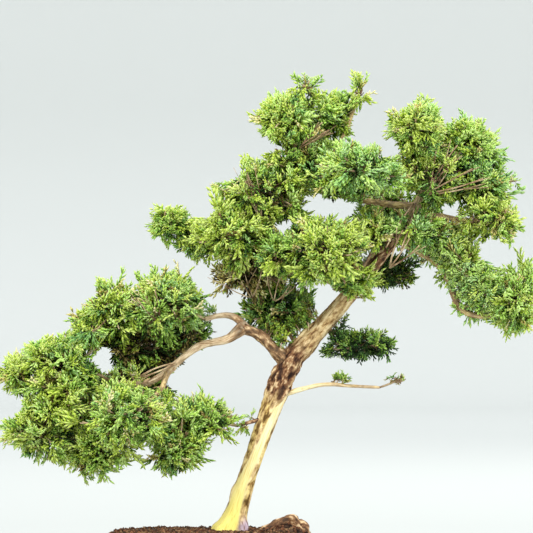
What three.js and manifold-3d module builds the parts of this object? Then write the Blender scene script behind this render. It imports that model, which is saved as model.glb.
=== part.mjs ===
// A dwarf sawara cypress bonsai: a slender trunk that leans and curves to the right, a long bough that
// reaches out to the left, a drooping one to the right, and about thirty separate pads of fine foliage.
// It stands in a plain shallow oval pot of unglazed clay, filled with soil that is mounded to the trunk.
// Units are millimetres. +X is the viewer's right, +Y is away from the viewer and +Z is up.
// The origin is the middle of the pot's flat underside.
import * as THREE from "three";
import { mergeVertices } from "three/addons/utils/BufferGeometryUtils.js";
import Module from "manifold-3d";

const wasm = await Module();
wasm.setup();

// Driving dimensions
const GAP = 0.3; // clearance between two pieces that touch
const POT = {
  halfLength: 86,
  halfDepth: 57,
  roundness: 2.5, // exponent of the oval's superellipse, 2 for a plain ellipse
  sides: 32,
  channelWidth: 12,
  channelHeight: 3.5,
  drainX: 38, // each of the two drain holes and channels lies this far from the middle
  drainRadius: 5.5,
};
// The pot's profile as inset from the rim's outer edge and height, up the outside and down the inside
const POT_FOOT = [[15, 0], [15, 4.5], [11, 4.5], [7, 14]];
const POT_OUTSIDE = [...POT_FOOT, [4, 30], [3.2, 38], [0.3, 39.5], [0, 45], [0.8, 46]];
const POT_INSIDE = [[6, 46], [6.8, 45], [9.5, 24], [15, 9.5]];
// The soil's levels at the rim and round the trunk, the insets of its slope, its lumpy ring and its flat
// middle, and how deep its hollows are between the lumps
const SOIL = {
  level: 52,
  edgeLevel: 43.5,
  edgeInset: 7.2,
  plateauInset: 21,
  lumpyInset: 30,
  flatInset: 38,
  slopeSteps: 4,
  hollow: 0.8,
};
// The largest granules that stand out of the soil, spread over an oval that leaves the trunk's foot and
// the surface root free
const GRANULES = {
  count: 34,
  halfLength: 62,
  halfDepth: 34,
  across: [4, 6.4],
  height: 4.4,
  rise: 1.5, // above the soil's level
  tilt: 0.6,
  footRadius: 24,
  rootX: [30, 72],
  rootY: [-17, 2],
};
const FLARE = { height: 16, spread: 0.7, lobes: 5 };
const FLUTE_DEPTH = 0.07; // depth of the trunk's flutes, as a share of its radius
const TRUNK_FACETS = { sides: 11, steps: 38 };
const LIMB_FACETS = { sides: 5, stepsPerPoint: 2 };
// A pad's dense core: its share of the space, how much that varies from corner to corner, its facets, and
// how a corner that leaves the space is drawn in, down to the least share
const CORE = { share: 0.8, unevenness: [0.9, 1.12], columns: 8, rows: 4, drawIn: 0.92, least: 0.12 };
const REACH = 1.14; // how far the sprays reach, as a share of the space
const TWIG_REACH = 0.5; // how far a twig runs out towards the edge of its space
const TWIG = { base: 1.5, tip: 0.8, sides: 3 };
const STEM = { base: 1.9, tip: 1.2, share: 0.8, sides: 5 }; // at most a share of its limb's radius
// A spray's length is one of these shares of its lobe's own reach. Its root is sunk into its twig.
const SPRAY = { sizes: [1.15, 1, 0.85, 0.7, 0.55], thickness: 2, root: 3, turns: 5, lean: 0.8 };
const TWIG_AREA = 1080; // the area of a lobe's surface that one twig serves, in square millimetres
const LEAST_TWIGS = 3; // in one lobe
const SPACE_MARGIN = 0.05; // how much deeper in its own space than in a neighbour's a point has to be
const LIMB_MARGIN = 1; // how far a spray's corners stay from the limbs
const SEEDS_PER_PAD = 20;
const WELD = 1e-3; // vertices closer than this are one
const MERGE = 0.02; // edges shorter than this are merged into their neighbours
const SLIVER = 1e-4; // a facet narrower than this isn't sound

// The trunk's route as x, y, z and radius, from just inside the soil up to the tip
const TRUNK = [
  [15, 0, 46, 9.2],
  [20.5, -1, 66, 6.9],
  [27.8, -3, 90, 5.6],
  [35.2, -4, 111, 5.8],
  [42.6, -3, 132, 6.5],
  [49.5, -1, 150, 7.6],
  [56, 1, 164, 7.4],
  [67, 3, 177, 6.2],
  [79, 4, 190, 5.7],
  [91, 3, 204, 5.2],
  [112, -1, 230, 4.4],
  [131, -4, 254, 3.4],
  [141, -5, 272, 2.7],
  [150, -9, 287, 1.9],
];

// A limb leaves its parent at a share of the parent's length, runs through the given points and ends at
// the last. It has one radius at its root and one at its tip.
const limb = (name, parent, share, rootRadius, tipRadius, ...through) => ({
  name,
  parent,
  share,
  radii: [rootRadius, tipRadius],
  through,
});

const LIMBS = [
  // The long left bough, split where it bends over the gap beside the trunk
  limb("left_bough", "trunk", 0.452, 4, 3, [43, -1, 173.5], [35, -2, 181], [24, -2, 186]),
  limb("left_upper_limb", "left_bough", 0.9, 2, 1.4, [18, 0, 193.5], [9, 2, 194], [-1, 3, 192]),
  limb("left_lower_limb", "left_bough", 0.93, 2.5, 2.1, [13, -3, 178.5], [-5, -4, 174], [-22, -4, 161]),
  limb("left_far_limb", "left_lower_limb", 1, 2.1, 1.6, [-30, -3, 154], [-42, -2, 149.5], [-60, 0, 150]),
  limb("left_under_limb", "left_lower_limb", 0.7, 1.8, 1.4, [-12, 4, 170], [-18, 11, 171]),
  limb("left_down_limb", "left_far_limb", 0.2, 1.9, 1.4, [-29, -12, 147], [-35, -24, 140]),
  limb("left_back_limb", "left_far_limb", 0.55, 2, 1.4, [-45, 10, 147], [-50, 24, 145]),
  limb("left_west_limb", "left_far_limb", 0.8, 1.8, 1.4, [-62, -8, 141], [-73, -14, 135]),
  limb("left_inner_bough", "trunk", 0.285, 1.6, 1.2, [28, -7, 124], [20, -11, 122]),
  limb("low_right_branch", "trunk", 0.33, 1.7, 0.9, [60, -5, 145], [78, -7, 149], [96, -7, 148], [114, -6, 147]),
  // The middle of the crown
  limb("mid_left_bough", "trunk", 0.7, 3.2, 2.2, [80, -4, 219], [66, -2, 226], [52, -1, 228]),
  limb("mid_left_limb", "mid_left_bough", 0.86, 1.9, 1.5, [42, -8, 238], [36, -10, 243]),
  limb("left_tip_limb", "mid_left_bough", 0.93, 1.7, 1.2, [40, 8, 234], [22, 16, 239], [5, 15, 244]),
  limb("mid_center_limb", "mid_left_bough", 0.35, 1.9, 1.5, [82, -14, 225], [81, -24, 229]),
  limb("mid_back_limb", "mid_left_bough", 0.5, 1.9, 1.4, [68, 16, 231], [61, 34, 233]),
  limb("upper_left_bough", "trunk", 0.9, 2.2, 1.6, [115, 0, 268.5], [97, 2, 272], [84, 2, 280], [70, 0, 286]),
  limb("upper_mid_limb", "upper_left_bough", 0.42, 1.6, 1.4, [103, -11, 274], [102, -22, 279]),
  limb("apex_limb", "upper_left_bough", 0.72, 1.7, 1.4, [77, -1, 297], [73, -2, 309]),
  limb("apex_right_limb", "apex_limb", 0.5, 1.5, 1.2, [90, 3, 312], [99, 7, 335]),
  limb("upper_back_limb", "upper_left_bough", 0.5, 1.8, 1.4, [95, 20, 280], [92, 42, 284]),
  // The right side of the crown
  limb("right_outer_limb", "trunk", 0.955, 2, 1.5, [158, -1, 291], [165, 4, 298]),
  limb("right_tip_limb", "trunk", 0.87, 1.9, 1.2, [152, -9, 260], [168, -11, 257], [178, -11, 256]),
  limb("right_back_limb", "trunk", 0.92, 1.8, 1.4, [147, 14, 280], [151, 38, 285]),
  limb("right_drop_bough", "trunk", 0.81, 2.3, 1.9, [139, 1, 237], [152, 2, 229], [160, 2, 217], [164, 2, 205]),
  limb("right_end_limb", "right_drop_bough", 1, 1.9, 1.4, [168, 1, 198], [178, 0, 194], [189, 0, 194]),
  limb("hanging_limb", "right_drop_bough", 0.45, 1.6, 1.3, [158, 5, 236]),
];

// The surface root that arches out of the soil to the trunk's right
const ROOT = {
  through: [[38, -8, 50], [46, -8, 56.5], [54, -7, 59.5], [61, -6, 55], [66, -5, 48]],
  radii: [3, 4],
  sides: 6,
  steps: 9,
};

// A pad of foliage grows from one stem, at a share of a limb's length, and fills its own space: one or
// more ellipsoids given as x, y, z and their half-axes.
const pad = (name, parent, share, ...lobes) => ({ name, parent, share, lobes, dense: true });

const PADS = [
  // The left side, from the top down
  pad("left_tip", "left_tip_limb", 1, [-8, 14, 246, 15, 18, 11], [-25, 10, 255, 14, 17, 12]),
  pad(
    "left_dome",
    "left_upper_limb",
    1,
    [-26, -8, 202, 26, 30, 20],
    [-62, -4, 199, 18, 24, 18],
    [-76, 2, 187, 9, 14, 10],
  ),
  pad(
    "left_under",
    "left_under_limb",
    1,
    [-36, 27, 172, 24, 23, 17],
    [-55, 22, 171, 12, 16, 13],
    [-13, 16, 181, 14, 14, 9],
  ),
  pad("left_far", "left_far_limb", 1, [-96, -2, 164, 26, 31, 17], [-123, -4, 156, 13, 18, 10]),
  pad("left_back", "left_back_limb", 1, [-70, 47, 138, 32, 28, 21], [-30, 48, 146, 18, 21, 13]),
  pad(
    "left_low_west",
    "left_west_limb",
    1,
    [-110, -14, 121, 26, 28, 22],
    [-73, -14, 109, 22, 24, 24],
    [-94, -12, 144, 22, 24, 9],
  ),
  pad("left_low_mid", "left_down_limb", 1, [-51, -42, 129, 28, 26, 23]),
  pad("left_low_right", "left_inner_bough", 1, [-1, -16, 126, 24, 20, 15], [-20, -22, 109, 16, 18, 23]),
  // The top
  pad("apex", "apex_limb", 1, [52, -10, 323, 22, 27, 18], [66, -8, 345, 9, 11, 11], [86, 12, 325, 16, 24, 15]),
  pad("apex_right", "apex_right_limb", 1, [101, 9, 342, 9, 13, 12]),
  pad("upper_left", "upper_left_bough", 1, [38, -10, 277, 27, 32, 18], [61, -8, 296, 17, 24, 13]),
  pad("upper_mid", "upper_mid_limb", 1, [98, -43, 289, 32, 28, 17]),
  pad("back_upper", "upper_back_limb", 1, [86, 63, 289, 30, 28, 18]),
  pad("right_top_inner", "trunk", 1, [139, -31, 316, 20, 27, 21], [150, -22, 285, 17, 17, 13]),
  pad("right_top_outer", "right_outer_limb", 1, [171, 6, 306, 23, 32, 20], [180, -2, 281, 21, 26, 16]),
  pad("back_right", "right_back_limb", 1, [155, 60, 289, 25, 27, 22]),
  // The middle
  pad("mid_left", "mid_left_limb", 1, [18, -16, 250, 24, 30, 22], [42, -14, 265, 18, 19, 8]),
  pad("mid_low", "mid_left_bough", 1, [31, 10, 226, 24, 27, 18]),
  pad("mid_center", "mid_center_limb", 1, [79, -49, 236, 28, 30, 22], [50, -38, 237, 17, 18, 14]),
  pad("back_mid", "mid_back_limb", 1, [52, 58, 232, 30, 28, 16]),
  pad("center_right", "trunk", 0.83, [121, 34, 258, 21, 26, 17]),
  pad("front_middle", "trunk", 0.74, [98, -18, 217, 15, 11, 8], [112, -23, 246, 15, 13, 12]),
  pad("front_right", "trunk", 0.85, [135, -19, 253, 16, 12, 12]),
  pad("under_right", "trunk", 0.735, [118, 31, 222, 24, 24, 10]),
  pad("fork_tuft", "trunk", 0.505, [49, 27, 196, 25, 26, 20]),
  pad("right_spur", "trunk", 0.595, [101, 8, 174, 25, 16, 9]),
  // The right side
  pad("right_tip", "right_tip_limb", 1, [191, -14, 256, 16, 20, 14]),
  pad(
    "right_hanging",
    "hanging_limb",
    1,
    [154, 15, 246, 17, 21, 15],
    [172, 8, 229, 15, 21, 16],
    [181, 4, 209, 13, 18, 15],
  ),
  pad("right_end", "right_end_limb", 1, [205, 0, 204, 19, 24, 24]),
  { ...pad("low_right_sprays", "low_right_branch", 1, [126, -8, 152, 16, 9, 8]), dense: false },
];

const CLAY = { color: 0x5b4034, roughness: 0.75 };
const EARTH = { color: 0x6b4a33, roughness: 0.95 };
const BARK = { color: 0x9a7448, roughness: 0.8 };
const FOLIAGE = { color: 0x6f9a3a, roughness: 0.7 };

const vector = ([x, y, z]) => new THREE.Vector3(x, y, z);
const mix = (a, b, share) => a + (b - a) * share;
const isBetween = (value, [low, high]) => value > low && value < high;
const GOLDEN_ANGLE = Math.PI * (3 - Math.sqrt(5));

// Seeded random numbers, the same in every run
function seededRandom(seed) {
  let state = seed >>> 0;
  return () => {
    state = (Math.imul(state, 1664525) + 1013904223) >>> 0;
    return state / 4294967296;
  };
}

// Shapes

// Keeps only the positions and merges the vertices that coincide
function weld(geometry) {
  geometry.deleteAttribute("normal");
  geometry.deleteAttribute("uv");
  return mergeVertices(geometry, WELD);
}

// A solid that can be joined and cut, from a closed geometry
function solidFrom(geometry) {
  const merged = weld(geometry);
  const mesh = new wasm.Mesh({
    numProp: 3,
    vertProperties: merged.attributes.position.array,
    triVerts: new Uint32Array(merged.index.array),
  });
  return new wasm.Manifold(mesh);
}

function geometryFrom(solid) {
  const mesh = solid.getMesh();
  const geometry = new THREE.BufferGeometry();
  geometry.setAttribute("position", new THREE.BufferAttribute(new Float32Array(mesh.vertProperties), 3));
  geometry.setIndex(new THREE.BufferAttribute(new Uint32Array(mesh.triVerts), 1));
  return geometry;
}

// Triangles that join each ring of points to the next, for rings of count points
function ringFaces(ringCount, count) {
  const index = [];
  for (let r = 0; r + 1 < ringCount; r++) {
    for (let i = 0; i < count; i++) {
      const a = r * count + i;
      const b = r * count + ((i + 1) % count);
      index.push(a, b, b + count, a, b + count, a + count);
    }
  }
  return index;
}

// A closed solid from rings of points that all have the same number of points. An end with three points
// is closed by a triangle, and any other by a fan round its middle.
function loft(rings) {
  const count = rings[0].length;
  const points = rings.flat();
  const index = ringFaces(rings.length, count);
  const last = (rings.length - 1) * count;
  if (count === 3) {
    index.push(2, 1, 0, last, last + 1, last + 2);
    return solidFrom(new THREE.BufferGeometry().setFromPoints(points).setIndex(index));
  }
  const middle = (ring) => ring.reduce((sum, p) => sum.add(p), new THREE.Vector3()).divideScalar(count);
  points.push(middle(rings[0]), middle(rings.at(-1)));
  for (let i = 0; i < count; i++) {
    const next = (i + 1) % count;
    index.push(next, i, points.length - 2);
    index.push(last + i, last + next, points.length - 1);
  }
  return solidFrom(new THREE.BufferGeometry().setFromPoints(points).setIndex(index));
}

// The largest of the separate bodies that a cut leaves, with no scraps and no sealed hollows
function largest(solid) {
  return solid.decompose().reduce((best, part) => (part.volume() > best.volume() ? part : best));
}

// Merges short edges and near vertices away after cuts and joins, which can part a scrap or close a hollow
function tidied(solid) {
  return largest(solidFrom(geometryFrom(largest(solid).simplify(MERGE))));
}

// Points, directions and radii along a smooth route through the given points
function traceRoute(points, radii, steps) {
  const curve = new THREE.CatmullRomCurve3(points, false, "catmullrom", 0.5);
  return Array.from({ length: steps + 1 }, (_, i) => {
    const t = i / steps;
    const place = t * (radii.length - 1);
    const low = Math.min(Math.floor(place), radii.length - 2);
    const radius = mix(radii[low], radii[low + 1], place - low);
    return { t, point: curve.getPoint(t), tangent: curve.getTangent(t).normalize(), radius };
  });
}

// Radii that change evenly from the first point of a route to its last
function evenRadii(points, [start, end]) {
  return points.map((_, i) => mix(start, end, i / (points.length - 1)));
}

// Rings of points round a traced route. Each ring's first direction is carried over from the ring before,
// so that they don't twist. shape scales the radius at each place.
function ringsAlong(samples, sides, grow = 0, shape = () => 1) {
  const first = samples[0].tangent;
  const side = Math.abs(first.y) > 0.9 ? new THREE.Vector3(1, 0, 0) : new THREE.Vector3(0, 1, 0);
  return samples.map(({ t, point, tangent, radius }) => {
    side.addScaledVector(tangent, -side.dot(tangent)).normalize();
    const other = new THREE.Vector3().crossVectors(tangent, side);
    return Array.from({ length: sides }, (_, i) => {
      const angle = (2 * Math.PI * i) / sides;
      const reach = radius * shape(t, angle, point) + grow;
      const p = point.clone().addScaledVector(side, reach * Math.cos(angle));
      return p.addScaledVector(other, reach * Math.sin(angle));
    });
  });
}

// Cuts a solid flat where it stands on the soil
function cutAtSoil(solid) {
  const side = 4 * POT.halfLength;
  const below = new THREE.BoxGeometry(side, side, SOIL.level).translate(0, 0, GAP + SOIL.level / 2);
  return tidied(solid.subtract(solidFrom(below)));
}

// The pot and its soil

// One level ring of the oval, at an inset from the rim's outer edge
function ovalRing(inset, z) {
  const power = 2 / POT.roundness;
  const bend = (x) => Math.sign(x) * Math.abs(x) ** power;
  return Array.from({ length: POT.sides }, (_, i) => {
    const angle = (2 * Math.PI * i) / POT.sides;
    const x = (POT.halfLength - inset) * bend(Math.cos(angle));
    const y = (POT.halfDepth - inset) * bend(Math.sin(angle));
    return new THREE.Vector3(x, y, z);
  });
}

// A clay body with a lip and a floor, and two drain holes, each with a channel under it
function makePot() {
  let pot = loft([...POT_OUTSIDE, ...POT_INSIDE].map(([inset, z]) => ovalRing(inset, z)));
  for (const x of [-POT.drainX, POT.drainX]) {
    const channel = new THREE.BoxGeometry(POT.channelWidth, 3 * POT.halfDepth, 2 * POT.channelHeight);
    const drain = new THREE.CylinderGeometry(POT.drainRadius, POT.drainRadius, 30, 12).rotateX(Math.PI / 2);
    pot = pot.subtract(solidFrom(channel.translate(x, 0, 0)));
    pot = pot.subtract(solidFrom(drain.translate(x, 0, 0)));
  }
  return pot;
}

// Sinks each point of a ring by up to twice the depth, in a pattern of soft lumps
function lumpy(ring, depth) {
  for (const p of ring) {
    p.z -= depth * (1 + Math.sin(p.x * 0.31 + p.y * 0.17) * Math.cos(p.y * 0.37 - p.x * 0.11));
  }
  return ring;
}

// The soil fills the pot and rises from just under the rim to a low mound that is flat round the trunk.
function makeSoil() {
  const inside = POT_INSIDE.filter(([, z]) => z < SOIL.edgeLevel).reverse();
  const rings = inside.map(([inset, z], i) => ovalRing(inset + GAP, i === 0 ? z + GAP : z));
  rings.push(ovalRing(SOIL.edgeInset + GAP, SOIL.edgeLevel));
  for (let k = 1; k <= SOIL.slopeSteps; k++) {
    const share = k / SOIL.slopeSteps;
    const inset = mix(SOIL.edgeInset, SOIL.plateauInset, share);
    const level = mix(SOIL.edgeLevel, SOIL.level, Math.sin((share * Math.PI) / 2));
    rings.push(lumpy(ovalRing(inset, level), SOIL.hollow));
  }
  rings.push(lumpy(ovalRing(SOIL.lumpyInset, SOIL.level), SOIL.hollow));
  rings.push(ovalRing(SOIL.flatInset, SOIL.level));
  return tidied(wasm.Manifold.union([loft(rings), ...makeGranules()]));
}

// Rough blocks of baked clay, half sunk in the soil
function makeGranules() {
  const blocks = [];
  const [footX, footY] = TRUNK[0];
  for (let i = 0; i < GRANULES.count; i++) {
    const share = Math.sqrt((i + 0.5) / GRANULES.count);
    const turn = GOLDEN_ANGLE * i;
    const x = GRANULES.halfLength * share * Math.cos(turn);
    const y = GRANULES.halfDepth * share * Math.sin(turn);
    const atRoot = isBetween(x, GRANULES.rootX) && isBetween(y, GRANULES.rootY);
    if (atRoot || Math.hypot(x - footX, y - footY) < GRANULES.footRadius) continue;
    const across = mix(...GRANULES.across, (0.618 * i) % 1);
    const block = new THREE.OctahedronGeometry(1).rotateX(GRANULES.tilt).rotateZ(turn);
    block.scale(across / 2, (0.9 * across) / 2, GRANULES.height / 2);
    blocks.push(solidFrom(block.translate(x, y, SOIL.level + GRANULES.rise - GRANULES.height / 2)));
  }
  return blocks;
}

// Trunk, limbs and surface root

// The trunk's section: flutes that turn slowly, and root lobes that spread at its foot
function trunkShape(t, angle, point) {
  const flare = Math.min(1, Math.max(0, 1 - (point.z - SOIL.level) / FLARE.height)) ** 2;
  const lobes = 0.35 + 0.65 * Math.cos((FLARE.lobes * angle) / 2) ** 2;
  const flutes = Math.cos(3 * angle + 5 * t) + 0.5 * Math.cos(5 * angle - 3 * t);
  return 1 + FLUTE_DEPTH * flutes + FLARE.spread * flare * lobes;
}

// Each limb's traced route, its solid, and a solid grown by the gap that cuts what grows from it
const limbs = new Map();

function addLimb(name, samples, sides, shape) {
  const tip = samples.at(-1);
  const longerTip = { ...tip, point: tip.point.clone().addScaledVector(tip.tangent, GAP) };
  const grown = loft(ringsAlong([...samples.slice(0, -1), longerTip], sides, GAP, shape));
  let solid = loft(ringsAlong(samples, sides, 0, shape));
  for (const other of limbs.values()) {
    solid = solid.subtract(other.grown);
  }
  limbs.set(name, { samples, solid: cutAtSoil(solid), grown });
}

// The place on a limb at a share of its length
function placeOn(name, share) {
  const { samples } = limbs.get(name);
  return samples[Math.round(share * (samples.length - 1))];
}

function makeLimbs() {
  const route = traceRoute(TRUNK.map(vector), TRUNK.map((p) => p[3]), TRUNK_FACETS.steps);
  addLimb("trunk", route, TRUNK_FACETS.sides, trunkShape);
  for (const { name, parent, share, radii, through } of LIMBS) {
    const points = [placeOn(parent, share).point, ...through.map(vector)];
    const steps = LIMB_FACETS.stepsPerPoint * (points.length - 1) + 1;
    addLimb(name, traceRoute(points, evenRadii(points, radii), steps), LIMB_FACETS.sides);
  }
}

// An arch that stands on the soil beside the trunk
function makeRoot() {
  const points = ROOT.through.map(vector);
  const arch = loft(ringsAlong(traceRoute(points, evenRadii(points, ROOT.radii), ROOT.steps), ROOT.sides));
  return cutAtSoil(arch.subtract(limbs.get("trunk").grown));
}

// Pads of foliage

// How deep a point lies in a pad's space: 0 in the middle of a lobe and 1 on its surface
function depthIn({ lobes }, p) {
  const inLobe = ([x, y, z, rx, ry, rz]) => Math.hypot((p.x - x) / rx, (p.y - y) / ry, (p.z - z) / rz);
  return Math.min(...lobes.map(inLobe));
}

// True where a point is inside a pad's own space and deeper in it than in any other pad's
function isOwn(mass, p) {
  const own = depthIn(mass, p);
  if (own > REACH) return false;
  return PADS.every((other) => other === mass || depthIn(other, p) > own + SPACE_MARGIN);
}

// True where a point touches none of the limbs, apart from the one that the pad grows from
function isClearOfLimbs(mass, p) {
  for (const [name, { samples }] of limbs) {
    if (name === mass.parent) continue;
    if (samples.some(({ point, radius }) => point.distanceTo(p) < radius + LIMB_MARGIN)) return false;
  }
  return true;
}

// A straight tapered twig or stem
function twigSolid(start, end, { base, tip, sides }) {
  const tangent = end.clone().sub(start).normalize();
  const samples = [
    { t: 0, point: start, tangent, radius: base },
    { t: 1, point: end, tangent, radius: tip },
  ];
  return loft(ringsAlong(samples, sides));
}

// Evenly spread directions over a sphere
function spreadDirections(count, turn) {
  return Array.from({ length: count }, (_, i) => {
    const z = 1 - (2 * i + 1) / count;
    const level = Math.sqrt(1 - z * z);
    const angle = GOLDEN_ANGLE * i + turn;
    return new THREE.Vector3(level * Math.cos(angle), level * Math.sin(angle), z);
  });
}

// The core of one lobe: a faceted ball whose corners are drawn in wherever they would leave its space
function coreSolid(mass, lobe, random) {
  const ball = weld(new THREE.SphereGeometry(1, CORE.columns, CORE.rows).rotateX(Math.PI / 2));
  const place = ball.attributes.position;
  const direction = new THREE.Vector3();
  for (let i = 0; i < place.count; i++) {
    direction.fromBufferAttribute(place, i).multiply(vector(lobe.slice(3)));
    let share = CORE.share * mix(...CORE.unevenness, random());
    let p;
    do {
      p = vector(lobe).addScaledVector(direction, share);
      share *= CORE.drawIn;
    } while (share > CORE.least && !isOwn(mass, p));
    place.setXYZ(i, p.x, p.y, p.z);
  }
  return solidFrom(ball);
}

// A spray is a thin blade with two teeth. Its outline is given along and across, in shares of its length.
const SPRAY_OUTLINE = [[0, 0], [0.84, 0.42], [0.86, 0.04], [1, -0.36]];
const SPRAY_MIDDLE = 0.55;

// The outline's points, and then one on each face over its middle
function sprayPoints(root, forward, across, length) {
  const normal = new THREE.Vector3().crossVectors(forward, across).normalize();
  const at = (along, aside, out) => {
    const p = root.clone().addScaledVector(forward, along * length);
    return p.addScaledVector(across, aside * length).addScaledVector(normal, out);
  };
  const outline = SPRAY_OUTLINE.map(([along, aside]) => at(along, aside, 0));
  return [...outline, at(SPRAY_MIDDLE, 0, SPRAY.thickness / 2), at(SPRAY_MIDDLE, 0, -SPRAY.thickness / 2)];
}

function spraySolid(points) {
  const count = SPRAY_OUTLINE.length;
  const index = [];
  for (let i = 0; i < count; i++) {
    const next = (i + 1) % count;
    index.push(i, next, count + 1, next, i, count);
  }
  return solidFrom(new THREE.BufferGeometry().setFromPoints(points).setIndex(index));
}

// True where a spray's corners and the middles of its edges keep to the pad's space
function fits(mass, points) {
  const corners = points.slice(1, SPRAY_OUTLINE.length);
  const middles = corners.slice(1).map((p, i) => p.clone().lerp(corners[i], 0.5));
  return [...corners, ...middles].every((p) => isOwn(mass, p) && isClearOfLimbs(mass, p));
}

// The spray at a twig's end. It leans out to one side, and is made smaller and turned until it fits.
function sprayOn(mass, twigEnd, outward, random) {
  const direction = outward.clone().normalize();
  const across = new THREE.Vector3(direction.y, -direction.x, 0.3).cross(direction).normalize();
  const firstTurn = 2 * Math.PI * random();
  const lean = SPRAY.lean * mix(0.8, 1.3, random());
  const roll = mix(-0.8, 0.8, random());
  for (const size of SPRAY.sizes) {
    for (let k = 0; k < SPRAY.turns; k++) {
      const flat = across.clone().applyAxisAngle(direction, firstTurn + (2 * Math.PI * k) / SPRAY.turns);
      const forward = direction.clone().addScaledVector(flat, lean).normalize();
      const side = new THREE.Vector3().crossVectors(direction, forward).normalize();
      side.applyAxisAngle(forward, roll);
      const root = twigEnd.clone().addScaledVector(forward, -SPRAY.root);
      const points = sprayPoints(root, forward, side, size * outward.length());
      if (fits(mass, points)) return [spraySolid(points)];
    }
  }
  return [];
}

// The area of an ellipsoid, by Thomsen's formula
function lobeArea([, , , rx, ry, rz]) {
  const power = 1.6;
  const mean = ((rx * ry) ** power + (ry * rz) ** power + (rx * rz) ** power) / 3;
  return 4 * Math.PI * mean ** (1 / power);
}

// One pad: a stem from its limb into the first lobe and on through the others, twigs that spread from the
// middle of each lobe, sprays at the twigs' ends, and in a dense pad a core in each lobe.
function growPad(mass, seed) {
  const random = seededRandom(seed);
  const solids = [];
  const { point, radius } = placeOn(mass.parent, mass.share);
  const stem = { ...STEM, base: Math.min(STEM.base, STEM.share * radius) };
  let from = point;
  for (const lobe of mass.lobes) {
    solids.push(twigSolid(from, vector(lobe), stem));
    from = vector(lobe);
  }
  for (const lobe of mass.lobes) {
    const centre = vector(lobe);
    const twigCount = Math.max(LEAST_TWIGS, Math.round(lobeArea(lobe) / TWIG_AREA));
    if (mass.dense) solids.push(coreSolid(mass, lobe, random));
    for (const aim of spreadDirections(twigCount, 2 * Math.PI * random())) {
      const outward = aim.multiply(vector(lobe.slice(3)));
      const end = centre.clone().addScaledVector(outward, TWIG_REACH * mix(0.9, 1.1, random()));
      if (!isOwn(mass, end) || !isClearOfLimbs(mass, end)) continue;
      solids.push(twigSolid(centre, end, TWIG));
      solids.push(...sprayOn(mass, end, outward, random));
    }
  }
  let whole = wasm.Manifold.union(solids);
  for (const { grown } of limbs.values()) {
    whole = whole.subtract(grown);
  }
  return tidied(whole);
}

// True where each edge lies between just two facets, so that the solid is nowhere pinched to a line, and
// no facet is a sliver
function isSound(solid) {
  const { index, attributes } = weld(geometryFrom(solid));
  const edges = new Set();
  const facet = new THREE.Triangle();
  for (let i = 0; i < index.count; i += 3) {
    const corners = [index.getX(i), index.getX(i + 1), index.getX(i + 2)];
    corners.forEach((corner, k) => edges.add(corner + " " + corners[(k + 1) % 3]));
    facet.setFromAttributeAndIndices(attributes.position, ...corners);
    const { a, b, c } = facet;
    const longest = Math.max(a.distanceTo(b), b.distanceTo(c), c.distanceTo(a));
    if ((2 * facet.getArea()) / longest < SLIVER) return false;
  }
  return edges.size === index.count;
}

// A pad that comes out pinched is grown again from the next seed.
function growSoundPad(mass, firstSeed) {
  for (let seed = firstSeed; seed < firstSeed + SEEDS_PER_PAD; seed++) {
    const solid = growPad(mass, seed);
    if (isSound(solid)) return solid;
  }
  throw new Error(mass.name + " found no sound shape");
}

// The whole plant in its pot
const bonsai = new THREE.Group();

function addNode(name, solid, finish) {
  const material = new THREE.MeshStandardMaterial({ ...finish, metalness: 0 });
  const mesh = new THREE.Mesh(geometryFrom(solid), material);
  mesh.name = name;
  bonsai.add(mesh);
}

makeLimbs();
addNode("pot", makePot(), CLAY);
addNode("soil", makeSoil(), EARTH);
addNode("surface_root", makeRoot(), BARK);
for (const [name, { solid }] of limbs) {
  addNode(name, solid, BARK);
}
PADS.forEach((mass, i) => {
  addNode(mass.name + "_foliage", growSoundPad(mass, SEEDS_PER_PAD * (i + 1)), FOLIAGE);
});

export default bonsai;
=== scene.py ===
# A dwarf sawara cypress bonsai in a plain oval clay pot. The trunk and limbs get the relief of stringy
# bark, and each pad of foliage is grown again as twigs and sprays of small scale-leaved shoots.
# Lengths are in millimetres until a mesh is made. +X is right, +Y is away from the camera, +Z is up.
import math

import bpy
import numpy as np
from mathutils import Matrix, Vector


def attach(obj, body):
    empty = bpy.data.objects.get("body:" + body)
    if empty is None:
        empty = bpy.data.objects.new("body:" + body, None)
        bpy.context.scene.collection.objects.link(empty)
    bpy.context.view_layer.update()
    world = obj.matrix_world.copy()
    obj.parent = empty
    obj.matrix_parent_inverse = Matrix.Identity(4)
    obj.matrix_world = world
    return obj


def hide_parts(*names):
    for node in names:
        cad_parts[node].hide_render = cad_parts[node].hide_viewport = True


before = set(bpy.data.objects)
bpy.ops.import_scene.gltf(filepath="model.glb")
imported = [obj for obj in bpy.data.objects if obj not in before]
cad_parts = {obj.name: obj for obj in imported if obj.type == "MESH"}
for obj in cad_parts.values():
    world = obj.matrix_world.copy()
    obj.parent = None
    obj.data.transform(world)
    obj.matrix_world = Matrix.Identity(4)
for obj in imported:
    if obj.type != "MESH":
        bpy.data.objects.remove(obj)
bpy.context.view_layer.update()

MM = 0.001
UP = np.array([0.0, 0.0, 1.0])
BACK = np.array([0.0, 1.0, 0.0])
RIGHT = np.array([1.0, 0.0, 0.0])
GOLDEN_TURN = math.pi * (3 - math.sqrt(5))  # from each of many evenly spread places to the next

# The picture: where the camera looks, how far away it stands and how wide a slice of the tree it sees
VIEW = {"x": 39.6, "z": 226.6, "distance": 2400.0, "width": 351.8}

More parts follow.
